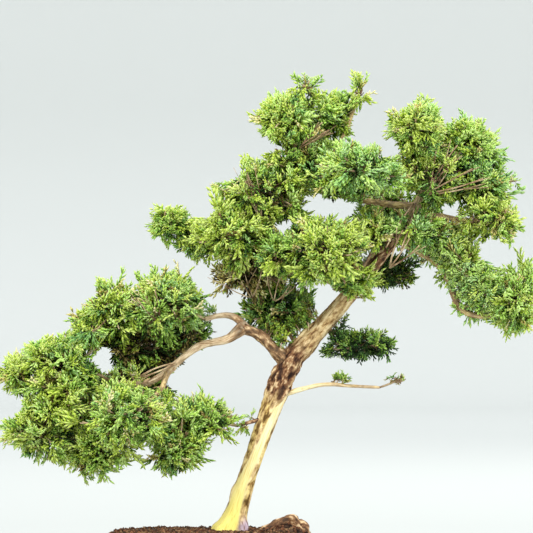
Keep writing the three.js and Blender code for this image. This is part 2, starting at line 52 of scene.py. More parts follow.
# The pot and the soil
POT = {"half_length": 86, "half_depth": 57, "roundness": 2.5, "sides": 224, "edge_radius": 1.3}
CHANNEL = {"x": 38, "width": 12, "height": 3.5}
DRAIN = {"vertices": 48, "radius": 5.5 * MM, "depth": 30 * MM}
POT_FOOT = [(15, 0), (15, 4.5), (11, 4.5), (7, 14)]
POT_OUTSIDE = POT_FOOT + [(4, 30), (3.2, 38), (0.3, 39.5), (0, 45), (0.8, 46)]
POT_INSIDE = [(6, 46), (6.8, 45), (9.5, 24), (15, 9.5)]
SOIL = {
    "level": 52, "edge_level": 43.5, "edge_inset": 7.2, "plateau_inset": 21, "lumpy_inset": 30,
    "flat_inset": 38, "hollow": 0.8, "gap": 0.3,
}
BED = {"rings": 40, "sides": 160, "uneven": 0.18, "middle": 51.4}
# Loose granules: how many, their half-width, how much larger the coarse and fine ones are, the share of
# coarse ones, how far from the rim they stay and how far their middles lie from the bed, as a share of size
GRAINS = {
    "count": 7000, "size": (0.6, 1.0), "coarse": 1.8, "fine": 1.15, "coarse_share": 0.3, "inset": 1.6,
    "sunk": (-0.1, 0.45),
}
# The largest granules, which the construction has too
GRANULES = {
    "count": 34, "half_length": 62, "half_depth": 34, "across": (4, 6.4), "height": 4.4, "rise": 1.5,
    "foot_radius": 24, "root": ((30, 72), (-17, 2)),
}
HEAP = {"x": 53, "y": -9, "half_x": 17, "half_y": 10, "height": 6.0}  # soil heaped under the surface root

# The trunk's route as x, y, z and radius
TRUNK = [
    (15, 0, 46, 9.2), (20.5, -1, 66, 6.9), (27.8, -3, 90, 5.6), (35.2, -4, 111, 5.8), (42.6, -3, 132, 6.5),
    (49.5, -1, 150, 7.6), (56, 1, 164, 7.4), (67, 3, 177, 6.2), (79, 4, 190, 5.7), (91, 3, 204, 5.2),
    (112, -1, 230, 4.4), (131, -4, 254, 3.4), (141, -5, 272, 2.7), (150, -9, 287, 1.9),
]
TRUNK_STEPS = 38
LIMB_STEPS_PER_POINT = 2
# How high and how far the trunk's foot spreads, and into how many roots
FLARE = {"height": 16, "spread": 0.7, "lobes": 5}
FLUTE_DEPTH = 0.07  # as a share of the trunk's radius
FOOT_DEPTH = 1.0  # how far the trunk and the root go on under the soil's level

# Each limb: its name, its parent, where on the parent it starts, its radius at root and tip, and its route
LIMBS = [
    ("left_bough", "trunk", 0.452, 4, 3, (43, -1, 173.5), (35, -2, 181), (24, -2, 186)),
    ("left_upper_limb", "left_bough", 0.9, 2, 1.4, (18, 0, 193.5), (9, 2, 194), (-1, 3, 192)),
    ("left_lower_limb", "left_bough", 0.93, 2.5, 2.1, (13, -3, 178.5), (-5, -4, 174), (-22, -4, 161)),
    ("left_far_limb", "left_lower_limb", 1, 2.1, 1.6, (-30, -3, 154), (-42, -2, 149.5), (-60, 0, 150)),
    ("left_under_limb", "left_lower_limb", 0.7, 1.8, 1.4, (-12, 4, 170), (-18, 11, 171)),
    ("left_down_limb", "left_far_limb", 0.2, 1.9, 1.4, (-29, -12, 147), (-35, -24, 140)),
    ("left_back_limb", "left_far_limb", 0.55, 2, 1.4, (-45, 10, 147), (-50, 24, 145)),
    ("left_west_limb", "left_far_limb", 0.8, 1.8, 1.4, (-62, -8, 141), (-73, -14, 135)),
    ("left_inner_bough", "trunk", 0.285, 1.6, 1.2, (28, -7, 124), (20, -11, 122)),
    ("low_right_branch", "trunk", 0.33, 1.7, 0.9, (60, -5, 145), (78, -7, 149), (96, -7, 148),
     (114, -6, 147)),
    ("mid_left_bough", "trunk", 0.7, 3.2, 2.2, (80, -4, 219), (66, -2, 226), (52, -1, 228)),
    ("mid_left_limb", "mid_left_bough", 0.86, 1.9, 1.5, (42, -8, 238), (36, -10, 243)),
    ("left_tip_limb", "mid_left_bough", 0.93, 1.7, 1.2, (40, 8, 234), (22, 16, 239), (5, 15, 244)),
    ("mid_center_limb", "mid_left_bough", 0.35, 1.9, 1.5, (82, -14, 225), (81, -24, 229)),
    ("mid_back_limb", "mid_left_bough", 0.5, 1.9, 1.4, (68, 16, 231), (61, 34, 233)),
    ("upper_left_bough", "trunk", 0.9, 2.2, 1.6, (115, 0, 268.5), (97, 2, 272), (84, 2, 280), (70, 0, 286)),
    ("upper_mid_limb", "upper_left_bough", 0.42, 1.6, 1.4, (103, -11, 274), (102, -22, 279)),
    ("apex_limb", "upper_left_bough", 0.72, 1.7, 1.4, (77, -1, 297), (73, -2, 309)),
    ("apex_right_limb", "apex_limb", 0.5, 1.5, 1.2, (90, 3, 312), (99, 7, 335)),
    ("upper_back_limb", "upper_left_bough", 0.5, 1.8, 1.4, (95, 20, 280), (92, 42, 284)),
    ("right_outer_limb", "trunk", 0.955, 2, 1.5, (158, -1, 291), (165, 4, 298)),
    ("right_tip_limb", "trunk", 0.87, 1.9, 1.2, (152, -9, 260), (168, -11, 257), (178, -11, 256)),
    ("right_back_limb", "trunk", 0.92, 1.8, 1.4, (147, 14, 280), (151, 38, 285)),
    ("right_drop_bough", "trunk", 0.81, 2.3, 1.9, (139, 1, 237), (152, 2, 229), (160, 2, 217),
     (164, 2, 205)),
    ("right_end_limb", "right_drop_bough", 1, 1.9, 1.4, (168, 1, 198), (178, 0, 194), (189, 0, 194)),
    ("hanging_limb", "right_drop_bough", 0.45, 1.6, 1.3, (158, 5, 236)),
]
ROOT_ARCH = [(38, -8, 50, 3), (46, -8, 56.5, 3.25), (54, -7, 59.5, 3.5), (61, -6, 55, 3.75), (66, -5, 48, 4)]

# Each pad of foliage: its name, its limb, where on the limb its stem starts, its look, and the ellipsoids
# that it fills, as x, y, z and half-axes. The look says how warm the pad's green is, how light it is and
# what share of its shoots has dried. The lightness is partly painted light and shade: pads deep in the
# crown's shade, such as under_right, right_spur and left_under, are painted darker.
PADS = [
    ("left_tip", "left_tip_limb", 1, (0.3, 0, 0.03), (-8, 14, 246, 15, 18, 11), (-25, 10, 255, 14, 17, 12)),
    ("left_dome", "left_upper_limb", 1, (0.3, 0.15, 0.06), (-26, -8, 202, 26, 30, 20),
     (-62, -4, 199, 18, 24, 18), (-76, 2, 187, 9, 14, 10)),
    ("left_under", "left_under_limb", 1, (0.3, -1.8, 0.5), (-36, 27, 172, 24, 23, 17),
     (-55, 22, 171, 12, 16, 13), (-13, 16, 181, 14, 14, 9)),
    ("left_far", "left_far_limb", 1, (0.7, 0.3, 0.04), (-96, -2, 164, 26, 31, 17),
     (-123, -4, 156, 13, 18, 10)),
    ("left_back", "left_back_limb", 1, (0.1, -0.3, 0.05), (-70, 47, 138, 32, 28, 21),
     (-30, 48, 146, 18, 21, 13)),
    ("left_low_west", "left_west_limb", 1, (0.2, 0, 0.05), (-110, -14, 121, 26, 28, 22),
     (-73, -14, 109, 22, 24, 24), (-94, -12, 144, 22, 24, 9)),
    ("left_low_mid", "left_down_limb", 1, (0.3, 0.1, 0.05), (-51, -42, 129, 28, 26, 23)),
    ("left_low_right", "left_inner_bough", 1, (0.1, 0, 0.07), (-1, -16, 126, 24, 20, 15),
     (-20, -22, 109, 16, 18, 23)),
    ("apex", "apex_limb", 1, (0.5, 0.2, 0.04), (52, -10, 323, 22, 27, 18), (66, -8, 345, 9, 11, 11),
     (86, 12, 325, 16, 24, 15)),
    ("apex_right", "apex_right_limb", 1, (0.2, 0.3, 0.03), (101, 9, 342, 9, 13, 12)),
    ("upper_left", "upper_left_bough", 1, (0.4, 0.05, 0.06), (38, -10, 277, 27, 32, 18),
     (61, -8, 296, 17, 24, 13)),
    ("upper_mid", "upper_mid_limb", 1, (-0.3, 0, 0.03), (98, -43, 289, 32, 28, 17)),
    ("back_upper", "upper_back_limb", 1, (0, -0.2, 0.05), (86, 63, 289, 30, 28, 18)),
    ("right_top_inner", "trunk", 1, (0.2, 0.1, 0.06), (139, -31, 316, 20, 27, 21),
     (150, -22, 285, 17, 17, 13)),
    ("right_top_outer", "right_outer_limb", 1, (0.1, 0.1, 0.05), (171, 6, 306, 23, 32, 20),
     (180, -2, 281, 21, 26, 16)),
    ("back_right", "right_back_limb", 1, (0, -0.2, 0.05), (155, 60, 289, 25, 27, 22)),
    ("mid_left", "mid_left_limb", 1, (0.8, 0.25, 0.04), (18, -16, 250, 24, 30, 22),
     (42, -14, 265, 18, 19, 8)),
    ("mid_low", "mid_left_bough", 1, (0.5, -0.7, 0.75), (31, 10, 226, 24, 27, 18)),
    ("mid_center", "mid_center_limb", 1, (0.7, 0, 0.06), (79, -49, 236, 28, 30, 22),
     (50, -38, 237, 17, 18, 14)),
    ("back_mid", "mid_back_limb", 1, (0, -0.2, 0.05), (52, 58, 232, 30, 28, 16)),
    ("center_right", "trunk", 0.83, (-0.3, -1.5, 0.1), (121, 34, 258, 21, 26, 17)),
    ("front_middle", "trunk", 0.74, (0.4, 0, 0.12), (98, -18, 217, 15, 11, 8), (112, -23, 246, 15, 13, 12)),
    ("front_right", "trunk", 0.85, (0, 0.2, 0.12), (135, -19, 253, 16, 12, 12)),
    ("under_right", "trunk", 0.735, (-0.3, -2.6, 0.05), (118, 31, 222, 24, 24, 10)),
    ("fork_tuft", "trunk", 0.505, (-0.2, -1.4, 0.12), (49, 27, 196, 25, 26, 20)),
    ("right_spur", "trunk", 0.595, (-0.2, -2.7, 0.02), (101, 8, 174, 25, 16, 9)),
    ("right_tip", "right_tip_limb", 1, (0.5, 0.1, 0.1), (191, -14, 256, 16, 20, 14)),
    ("right_hanging", "hanging_limb", 1, (0.15, 1.3, 0.05), (154, 15, 246, 17, 21, 15),
     (172, 8, 229, 15, 21, 16), (181, 4, 209, 13, 18, 15)),
    ("right_end", "right_end_limb", 1, (0.15, 0.4, 0.04), (205, 0, 204, 19, 24, 24)),
    ("low_right_sprays", "low_right_branch", 1, (0, -1.2, 0.3), (126, -8, 152, 16, 9, 8)),
]
PAD_NAMES = [pad[0] for pad in PADS]
PAD_KINDS = {"low_right_sprays": "sparse", "right_spur": "clipped", "under_right": "clipped"}

# Gaps of sky through the crown and notches in its outline, as x, z and half-sizes on the picture's plane
SKY_GAPS = [
    (80.5, 265.8, 17.5, 4.6), (51.2, 252.6, 7.3, 3.3), (105.3, 320.6, 9.2, 10.6), (120.5, 304.1, 5.9, 7.3),
    (49.5, 306.4, 3.6, 3), (78.5, 201.8, 6.3, 10.6), (-67.3, 165.5, 5, 9.2), (-131, 134.5, 9, 7.6),
    (160, 262.9, 4.5, 5), (8.9, 186.3, 4, 4.3), (191, 236, 11.5, 8), (12.9, 293, 10.5, 8),
    (31.4, 306, 12, 6.6), (-1.6, 269, 7, 11), (-24, 272.5, 14.5, 5), (-79, 212, 7, 8),
    (-18.5, 152, 7.5, 9.5), (26, 133, 5, 4), (-6, 168, 8, 4), (3.5, 147, 7, 4.5),
]

# Limbs that the photograph shows bare: from which to which share of their length nothing hangs in front
BARE_LIMBS = [
    ("trunk", 0, 0.64, 1), ("trunk", 0.8, 0.96, 0.7), ("left_bough", 0, 1, 1.1),
    ("left_upper_limb", 0, 0.7, 1.1), ("left_lower_limb", 0, 1, 1.1), ("left_far_limb", 0, 0.6, 1.1),
    ("low_right_branch", 0, 1, 1.2), ("upper_left_bough", 0.02, 0.4, 0.9), ("right_end_limb", 0, 0.5, 0.6),
]

# Places where the foliage is thin and the twigs inside it show, as x, z and half-sizes on the picture's
# plane and the share of the shoots that grow there
THIN_PLACES = [
    (149.5, 282, 9.5, 6, 0.25), (70, 312.5, 6.5, 4, 0.35), (45, 274, 6, 6, 0.5), (112, 233, 16, 8, 0.08),
    (38, 214, 22, 9, 0.5), (32, 275, 5, 13, 0.5), (-35, 205, 9, 6, 0.6), (-35, 150, 10, 6, 0.4),
    (122, 268, 18, 5, 0.5), (104, 343, 13, 14, 0.28), (69, 348, 12, 11, 0.36),
]
THIN_FRONT = {"y": 5, "z": 332}  # only foliage in front of this depth or above this height is thinned

# Sprays that grow straight from a limb: the limb, from which to which share of its length, how many, how
# long their twigs are, where they lean and the pad whose colours they have
LIMB_SPRAYS = [
    ("right_drop_bough", 0.12, 1, 34, 5.5, (0.7, -0.9, 0.6), "right_hanging"),
    ("right_end_limb", 0, 0.8, 6, 7, (0.2, -0.4, 1), "right_end"),
    ("upper_left_bough", 0.05, 0.75, 16, 8, (0, -0.4, 0.1), "upper_mid"),
    ("right_tip_limb", 0.1, 0.9, 8, 7, (0, -0.3, 0.3), "right_tip"),
    ("trunk", 0.72, 0.97, 26, 10, (0.5, -0.3, 0.2), "front_right"),
    ("mid_left_bough", 0.1, 1, 14, 9, (0, -0.6, 0.2), "mid_low"),
    ("left_upper_limb", 0.6, 1, 4, 6, (0, 0.2, -0.6), "left_dome"),
    ("left_far_limb", 0.55, 1, 7, 7, (0, -0.6, 0.3), "left_far"),
    ("left_down_limb", 0.3, 1, 5, 6, (0, -0.3, 0.3), "left_low_mid"),
    ("low_right_branch", 0.57, 0.66, 6, 2.5, (-0.5, 0, 1.2), "low_right_sprays"),
    ("trunk", 0.58, 0.61, 5, 5, (1.4, -0.2, -0.6), "right_spur"),
    ("left_inner_bough", 0.3, 0.9, 4, 4, (-0.6, 0, 0), "left_low_right"),
    ("apex_limb", 0.2, 0.9, 6, 8, (0, -0.4, 0.3), "apex"),
    ("trunk", 0.52, 0.62, 12, 8, (-1, 0.25, 0.5), "fork_tuft"),
    ("left_bough", 0.1, 0.6, 8, 7, (0.7, 0.3, 0.8), "fork_tuft"),
]
SPRAY_TUFTS = ((1.0, 5), (0.6, 3))  # where on such a twig its tufts are, and how many shoots they have

# Twigs that show on the foliage: where a fan of them starts, where its middle ends, how many there are, how
# far they spread sideways at their ends, and their radius
TWIG_FANS = [
    ((145, -26, 275), (172, -38, 291), 5, 15, 0.8), ((147, -24, 274), (154, -38, 300), 2, 5, 0.55),
    ((62, -24, 304), (79, -34, 316), 4, 5, 0.7), ((37, -28, 256), (28, -40, 288), 4, 5, 0.45),
    ((137, -14, 268), (122, -34, 237), 2, 3, 0.9), ((120, -26, 226), (133, -34, 246), 3, 5, 0.8),
    ((30, -8, 206), (22, -20, 220), 4, 12, 0.5), ((45, -8, 204), (50, -22, 218), 4, 12, 0.5),
    ((-30, -22, 190), (-42, -36, 207), 4, 7, 0.55), ((-20, -7, 163), (-44, -14, 152), 3, 4, 0.8),
]

# The foliage
BLEND = 12.5  # how far from their edges two lobes start to join, in millimetres
INSET = 6.8  # how far inside the crown's surface its tufts are rooted
CRAGS = 4.6  # how far the crown's surface waves in and out
CALM_CRAGS = 0.5  # the same for the clipped pads
REACH = (-1.2, 5.0)  # how far a tuft's tips reach past the crown's surface
LEADERS = {"share": 0.08, "further": 2.8, "longer": 1.25}  # the few shoots that stand out further
LIMB_MARGIN = 0.8  # how far the shoots stay from the limbs
TUFT_AREA = 122.0  # the area of a pad's surface that one tuft of shoots covers, in square millimetres
TUFT_CONE = math.radians(66)  # how far a tuft's outer shoots lean away from its middle
LEAST_SHOOT = 4.5  # shoots that would have to be shorter are left out
# The shades are then raised and lowered by the pad's lightness and by painted light and shade for each
# shoot's place
TUFT_SHADE, SPRAY_SHADE = 3.5, 2.9  # which of a family's shades shoots have before light and place count
MOOD_SPREAD = 0.52  # how much the shade differs from tuft to tuft
JOINED_SHARE = 0.45  # the share of shoots that a thin twig of their own joins to the tuft's twig
STEM = {"base": 1.6, "most": 0.85, "tip": 0.9}  # a stem's radii, and its most as a share of its limb's
TWIG_RADII = {"tuft": (0.85, 0.45), "shoot": (0.36, 0.36 * 0.7), "spray": (0.6, 0.4)}  # at base and tip
SPARSE_COUNT = 7  # how many tufts a sparse pad has
FINGER_WIDTH = 0.12  # as a share of a shoot's length
SHOOT_KINDS = 14
FINGERS_PER_SHOOT = 8

# Tufts: how many shoots they have, how long these are, how much darker they are painted (painted shade for
# the inner ones), and whether some stand out
TUFTS = {
    "full": (8, (9.0, 14.5), 0.0, True),
    "sparse": (4, (4.5, 7.0), 0.0, True),
    "clipped": (12, (6.0, 9.5), 0.0, False),
    "inner": (6, (8.0, 11.0), 1.8, False),
}


# Curves, tubes and meshes


def unit(v):
    return v / np.maximum(np.linalg.norm(v, axis=-1, keepdims=True), 1e-9)


def mix(a, b, share):
    return a + (b - a) * share


def smooth(low, high, x):
    t = np.clip((x - low) / (high - low), 0, 1)
    return t * t * (3 - 2 * t)


def bell(*offsets):
    """1 at the middle, falling off smoothly with the offsets from it."""
    return np.exp(-sum(offset**2 for offset in offsets))


def rope_through(points, shares):
    """Places on a smooth curve through the points, at shares of its length counted in points."""
    p = np.asarray(points, float)
    p = np.vstack([2 * p[0] - p[1], p, 2 * p[-1] - p[-2]])
    place = np.asarray(shares) * (len(p) - 3)
    i = np.minimum(place.astype(int), len(p) - 4)
    w = (place - i)[:, None]
    a, b, c, d = p[i], p[i + 1], p[i + 2], p[i + 3]
    start, end = (c - a) / 2, (d - b) / 2
    return b + start * w + (3 * (c - b) - 2 * start - end) * w**2 + (2 * (b - c) + start + end) * w**3


def trace(points, radii, steps):
    """A route's places, directions and radii, in even steps."""
    t = np.linspace(0, 1, steps + 1)
    small = 1e-4
    ahead = rope_through(points, np.minimum(t + small, 1))
    behind = rope_through(points, np.maximum(t - small, 0))
    return {
        "t": t,
        "point": rope_through(points, t),
        "tangent": unit(ahead - behind),
        "radius": np.interp(t, np.linspace(0, 1, len(radii)), radii),
    }


def frames_along(tangents):
    """Two directions across a route at each of its places, carried along so that they don't twist."""
    side = RIGHT if abs(tangents[0][1]) > 0.9 else BACK
    sides = []
    for tangent in tangents:
        side = unit(side - np.dot(side, tangent) * tangent)
        sides.append(side)
    sides = np.array(sides)
    return sides, np.cross(tangents, sides)


def tube_faces(rings, sides):
    """The quads between rings of points, and a fan at each end round one more point."""
    a = (np.arange(rings - 1)[:, None] * sides + np.arange(sides)).ravel()
    b = (np.arange(rings - 1)[:, None] * sides + (np.arange(sides) + 1) % sides).ravel()
    quads = np.stack([a, b, b + sides, a + sides], axis=1)
    i = np.arange(sides)
    j = (i + 1) % sides
    last = (rings - 1) * sides
    start = np.stack([j, i, np.full(sides, rings * sides)], axis=1)
    end = np.stack([last + i, last + j, np.full(sides, rings * sides + 1)], axis=1)
    split = np.concatenate([quads[:, [0, 1, 2]], quads[:, [0, 2, 3]]])
    return np.concatenate([split, start, end])


class Batch:
    """Points, triangles, material numbers and point attributes that are gathered into one mesh."""

    def __init__(self):
        self.points, self.faces, self.looks, self.extras = [], [], [], {}
        self.count = 0

    def add(self, points, faces, looks=0, **extras):
        self.points.append(points)
        self.faces.append(faces + self.count)
        self.looks.append(np.broadcast_to(looks, len(faces)))
        for name, values in extras.items():
            self.extras.setdefault(name, []).append(values)
        self.count += len(points)


def add_object(name, data):
    made = bpy.data.objects.new(name, data)
    bpy.context.scene.collection.objects.link(made)
    return made


def make_piece(name, batch, materials, replaced, is_smooth=True):
    """One visible piece: its mesh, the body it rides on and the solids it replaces."""
    points = np.concatenate(batch.points) * MM
    faces = np.concatenate(batch.faces)
    mesh = bpy.data.meshes.new(name)
    mesh.vertices.add(len(points))
    mesh.vertices.foreach_set("co", points.astype(np.float32).ravel())
    mesh.loops.add(faces.size)
    mesh.loops.foreach_set("vertex_index", faces.astype(np.int32).ravel())
    mesh.polygons.add(len(faces))
    mesh.polygons.foreach_set("loop_start", np.arange(0, faces.size, 3, dtype=np.int32))
    mesh.polygons.foreach_set("material_index", np.concatenate(batch.looks).astype(np.int32))
    mesh.polygons.foreach_set("use_smooth", np.full(len(faces), is_smooth))
    for extra, values in batch.extras.items():
        values = np.concatenate(values).astype(np.float32)
        kind = "FLOAT_VECTOR" if values.ndim == 2 else "FLOAT"
        attribute = mesh.attributes.new(extra, kind, "POINT")
        attribute.data.foreach_set("vector" if values.ndim == 2 else "value", values.ravel())
    for material in materials:
        mesh.materials.append(material)
    mesh.update()
    piece = add_object(name, mesh)
    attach(piece, "root")
    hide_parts(*replaced)
    return piece


# Materials


class Paint:
    """A material that is put together from shader nodes."""

    def __init__(self, name, roughness, specular):
        self.material = bpy.data.materials.new(name)
        self.material.use_nodes = True
        self.nodes = self.material.node_tree.nodes
        self.shader = self.nodes["Principled BSDF"]
        self.put(self.shader, {"Roughness": roughness, "Specular IOR Level": specular})

    def put(self, node, inputs):
        """Joins a node's inputs to other nodes' outputs, or sets them to plain values."""
        for name, value in inputs.items():
            if isinstance(value, bpy.types.NodeSocket):
                self.material.node_tree.links.new(value, node.inputs[name])
            else:
                node.inputs[name].default_value = value

    def node(self, kind, inputs):
        node = self.nodes.new(f"ShaderNode{kind}")
        self.put(node, inputs)
        return node

    def where(self):
        return self.nodes.new("ShaderNodeTexCoord").outputs["Object"]

    def noise(self, vector, scale, detail=4.0, roughness=0.55):
        inputs = {"Vector": vector, "Scale": scale, "Detail": detail, "Roughness": roughness}
        return self.node("TexNoise", inputs).outputs["Fac"]

    def stretched(self, vector, scale):
        return self.node("Mapping", {"Vector": vector, "Scale": scale}).outputs["Vector"]

    def attribute(self, name, output="Fac"):
        node = self.nodes.new("ShaderNodeAttribute")
        node.attribute_name = name
        return node.outputs[output]

    def scaled(self, value, inputs):
        return self.node("MapRange", {"Value": value, **inputs}).outputs["Result"]

    def ramp(self, value, *stops):
        """A colour ramp through stops, each a position with its red, green and blue."""
        node = self.node("ValToRGB", {"Fac": value})
        elements = node.color_ramp.elements
        elements[0].position, elements[1].position = stops[0][0], stops[-1][0]
        elements[0].color, elements[1].color = (*stops[0][1:], 1), (*stops[-1][1:], 1)
        for position, *color in stops[1:-1]:
            elements.new(position).color = (*color, 1)
        return node.outputs["Color"]

    def blend(self, share, first, second, mode="MIX"):
        node = self.nodes.new("ShaderNodeMix")
        node.data_type = "RGBA"
        node.blend_type = mode
        self.put(node, {"Factor": share})
        colors = [i for i, socket in enumerate(node.inputs) if socket.type == "RGBA"]
        self.put(node, {colors[0]: first, colors[1]: second})
        return next(socket for socket in node.outputs if socket.type == "RGBA")

    def bump(self, height, distance, strength, **before):
        inputs = {"Height": height, "Distance": distance, "Strength": strength, **before}
        normal = self.node("Bump", inputs).outputs["Normal"]
        self.put(self.shader, {"Normal": normal})
        return normal


# The bark's colours: the pattern that each is laid over, and its stops
BARK_COLORS = {
    "young": ("strands", (0.3, 0.33, 0.21, 0.115), (0.5, 0.68, 0.5, 0.31), (0.7, 0.93, 0.79, 0.56)),
    "tan": ("flakes", (0.34, 0.19, 0.09, 0.035), (0.47, 0.58, 0.39, 0.17), (0.6, 0.9, 0.71, 0.4)),
    "golden": ("flakes", (0.41, 0.12, 0.064, 0.014), (0.5, 0.42, 0.27, 0.085), (0.6, 0.8, 0.61, 0.24)),
    "reddish": ("flakes", (0.4, 0.035, 0.014, 0.008), (0.5, 0.17, 0.075, 0.034), (0.56, 0.36, 0.2, 0.095),
                (0.63, 0.74, 0.55, 0.32)),
    "gray": ("strands", (0.32, 0.24, 0.16, 0.2), (0.62, 0.62, 0.49, 0.56)),
    "wood": ("fibres", (0.26, 0.62, 0.42, 0.15), (0.42, 0.86, 0.68, 0.33), (0.66, 0.96, 0.86, 0.58)),
    "yellow": ("fibres", (0.25, 0.62, 0.46, 0.07), (0.5, 0.9, 0.77, 0.22)),
}
# How the bark darkens with its cleft value: painted shade in the clefts, and near the knot the knot's own
# dark colour
CLEFT_PAINTED_SHADE_AND_KNOT = [(0.0, 0.13, 0.075, 0.05), (0.22, 0.66, 0.56, 0.46), (0.5, 1, 1, 1)]


def bark_material():
    """Flaky tan bark that is golden low on the trunk and dark red-brown where red is 1, with painted shade in
    its clefts, and pale live wood where live is 1. High on the trunk, in the crown's dark hollow, the red is
    painted shade."""
    paint = Paint("stringy_bark", 0.78, 0.25)
    place = paint.attribute("place", "Vector")
    patterns = {
        "strands": paint.noise(paint.stretched(place, (1.0, 1.0, 0.16)), 1.0, 6, 0.64),
        "flakes": paint.noise(paint.stretched(place, (0.34, 0.34, 0.16)), 1.0, 5, 0.62),
        "fibres": paint.noise(paint.stretched(place, (1.6, 1.6, 0.07)), 1.0, 4, 0.55),
    }
    tones = {name: paint.ramp(patterns[over], *stops) for name, (over, *stops) in BARK_COLORS.items()}
    tones["wood"] = paint.blend(paint.attribute("low"), tones["wood"], tones["yellow"])
    color = tones["young"]
    layers = (("age", "tan"), ("gold", "golden"), ("red", "reddish"), ("gray", "gray"), ("live", "wood"))
    for value, tone in layers:
        color = paint.blend(paint.attribute(value), color, tones[tone])
    # Painted shade: the colour is multiplied darker along the bark's clefts
    shade = paint.ramp(paint.attribute("cleft"), *CLEFT_PAINTED_SHADE_AND_KNOT)
    paint.put(paint.shader, {"Base Color": paint.blend(1.0, color, shade, "MULTIPLY")})
    paint.bump(patterns["strands"], 0.4 * MM, 0.75)
    return paint.material


def twig_material():
    """Thin twigs: red-brown to tan, in patches that vary at random."""
    paint = Paint("twig_bark", 0.7, 0.3)
    tone = paint.noise(paint.where(), 120, 3)
    color = paint.ramp(tone, (0.35, 0.16, 0.088, 0.045), (0.5, 0.4, 0.265, 0.145), (0.66, 0.7, 0.55, 0.34))
    paint.put(paint.shader, {"Base Color": color})
    return paint.material


# The soil's granules: each kind's darkest, middle and lightest tone, and how many of all are of it
GRANULE_KINDS = {
    "red": ((0.055, 0.02, 0.01), (0.15, 0.058, 0.026), (0.28, 0.125, 0.06), 0.45),
    "tan": ((0.1, 0.05, 0.022), (0.24, 0.13, 0.06), (0.4, 0.25, 0.13), 0.3),
    "dark": ((0.022, 0.012, 0.008), (0.06, 0.032, 0.02), (0.13, 0.075, 0.045), 0.25),
}


def soil_material(kind):
    """Porous baked-clay granules: each has a tone of its own, with fine pits."""
    dark, middle, light, _ = GRANULE_KINDS[kind]
    paint = Paint(f"granules_{kind}", 0.92, 0.2)
    where = paint.where()
    tone = paint.noise(where, 260, 2)
    pits = paint.noise(where, 2400, 5, 0.7)
    color = paint.ramp(tone, (0.36, *dark), (0.5, *middle), (0.64, *light))
    speckle = paint.ramp(pits, (0.3, 0.5, 0.45, 0.42), (0.62, 1, 1, 1))
    paint.put(paint.shader, {"Base Color": paint.blend(0.8, color, speckle, "MULTIPLY")})
    paint.bump(pits, 0.3 * MM, 0.8)
    return paint.material


def clay_material():
    """Unglazed fired clay: brown, slightly mottled by the kiln, with fine sand and faint turning lines."""
    paint = Paint("unglazed_clay", 0.62, 0.4)
    where = paint.where()
    clouds = paint.noise(where, 22, 5)
    sand = paint.noise(where, 1500, 3, 0.7)
    lines = paint.noise(paint.stretched(where, (0.03, 0.03, 1.0)), 900, 2)
    browns = ((0.32, 0.062, 0.03, 0.02), (0.5, 0.105, 0.052, 0.033), (0.7, 0.17, 0.088, 0.055))
    grains = paint.ramp(sand, (0.3, 0.55, 0.5, 0.48), (0.5, 1, 1, 1), (0.74, 1.5, 1.35, 1.2))
    color = paint.blend(0.8, paint.ramp(clouds, *browns), grains, "MULTIPLY")
    rough = paint.scaled(clouds, {"To Min": 0.5, "To Max": 0.78})
    paint.put(paint.shader, {"Base Color": color, "Roughness": rough})
    lined = paint.bump(lines, 0.12 * MM, 0.5)
    paint.bump(sand, 0.14 * MM, 0.6, Normal=lined)
    return paint.material


# Leaf colours, from the shaded inside of a pad to its sunlit tips, in families of hue
LEAF_COLORS = {
    "warm": [
        (0.04, 0.06, 0.008), (0.225, 0.315, 0.028), (0.4, 0.535, 0.06), (0.515, 0.655, 0.095),
        (0.565, 0.69, 0.165),
    ],
    "green": [
        (0.024, 0.054, 0.009), (0.145, 0.28, 0.033), (0.285, 0.465, 0.075), (0.395, 0.605, 0.115),
        (0.485, 0.665, 0.19),
    ],
    "cool": [
        (0.018, 0.048, 0.012), (0.105, 0.24, 0.055), (0.215, 0.4, 0.11), (0.32, 0.55, 0.155),
        (0.43, 0.64, 0.25),
    ],
    "dry": [
        (0.04, 0.03, 0.009), (0.18, 0.13, 0.034), (0.4, 0.325, 0.095), (0.6, 0.52, 0.18),
        (0.76, 0.7, 0.35),
    ],
}
FAMILIES = list(LEAF_COLORS)
SHADES = 5


def leaf_materials():
    """One plain material for each leaf colour, which lets a little light through."""
    materials = []
    for family in FAMILIES:
        for shade, color in enumerate(LEAF_COLORS[family]):
            paint = Paint(f"leaf_{family}_{shade}", 0.55, 0.3)
            inputs = {"Base Color": (*color, 1), "Subsurface Weight": 0.4, "Subsurface Scale": 1.0 * MM}
            paint.put(paint.shader, {**inputs, "Subsurface Radius": (0.8, 1.0, 0.3)})
            materials.append(paint.material)
    return materials


# Trunk and limbs


def trunk_shape(t, angle, z):
    """The trunk's section: flutes that turn slowly, and root lobes that spread at its foot."""
    flare = np.clip(1 - (z - SOIL["level"]) / FLARE["height"], 0, 1) ** 2
    lobes = 0.35 + 0.65 * np.cos(FLARE["lobes"] * angle / 2) ** 2
    flutes = np.cos(3 * angle + 5 * t) + 0.5 * np.cos(5 * angle - 3 * t)
    return 1 + FLUTE_DEPTH * flutes + FLARE["spread"] * flare * lobes


def strand_waves(angle, along, rng, turns, pitch, count=16):
    """A pattern of strands that run up a limb, from waves with a whole number of turns round it."""
    total = np.zeros(np.broadcast(angle, along).shape)
    for _ in range(count):
        n = rng.integers(*turns)
        k = rng.uniform(-1, 1) * math.tau / pitch
        total += np.cos(n * angle + k * along + rng.uniform(0, math.tau))
    return total / math.sqrt(count / 2)


# The stripe of live wood: at a height, the middle of the stripe as an angle round the trunk from its back
# towards its left, its half-width, both in degrees, and how yellow it is
LIVE_STRIPE = [
    (50, 130, 52, 1), (62, 140, 50, 1), (71, 152, 47, 0.9), (84, 153, 43, 0.6), (97, 177, 37, 0.3),
    (113, 190, 26, 0.15), (123, 206, 27, 0.05), (132, 221, 27, 0), (140, 245, 25, 0),
]
STRIPE_END = (140, 148)  # heights between which the stripe fades


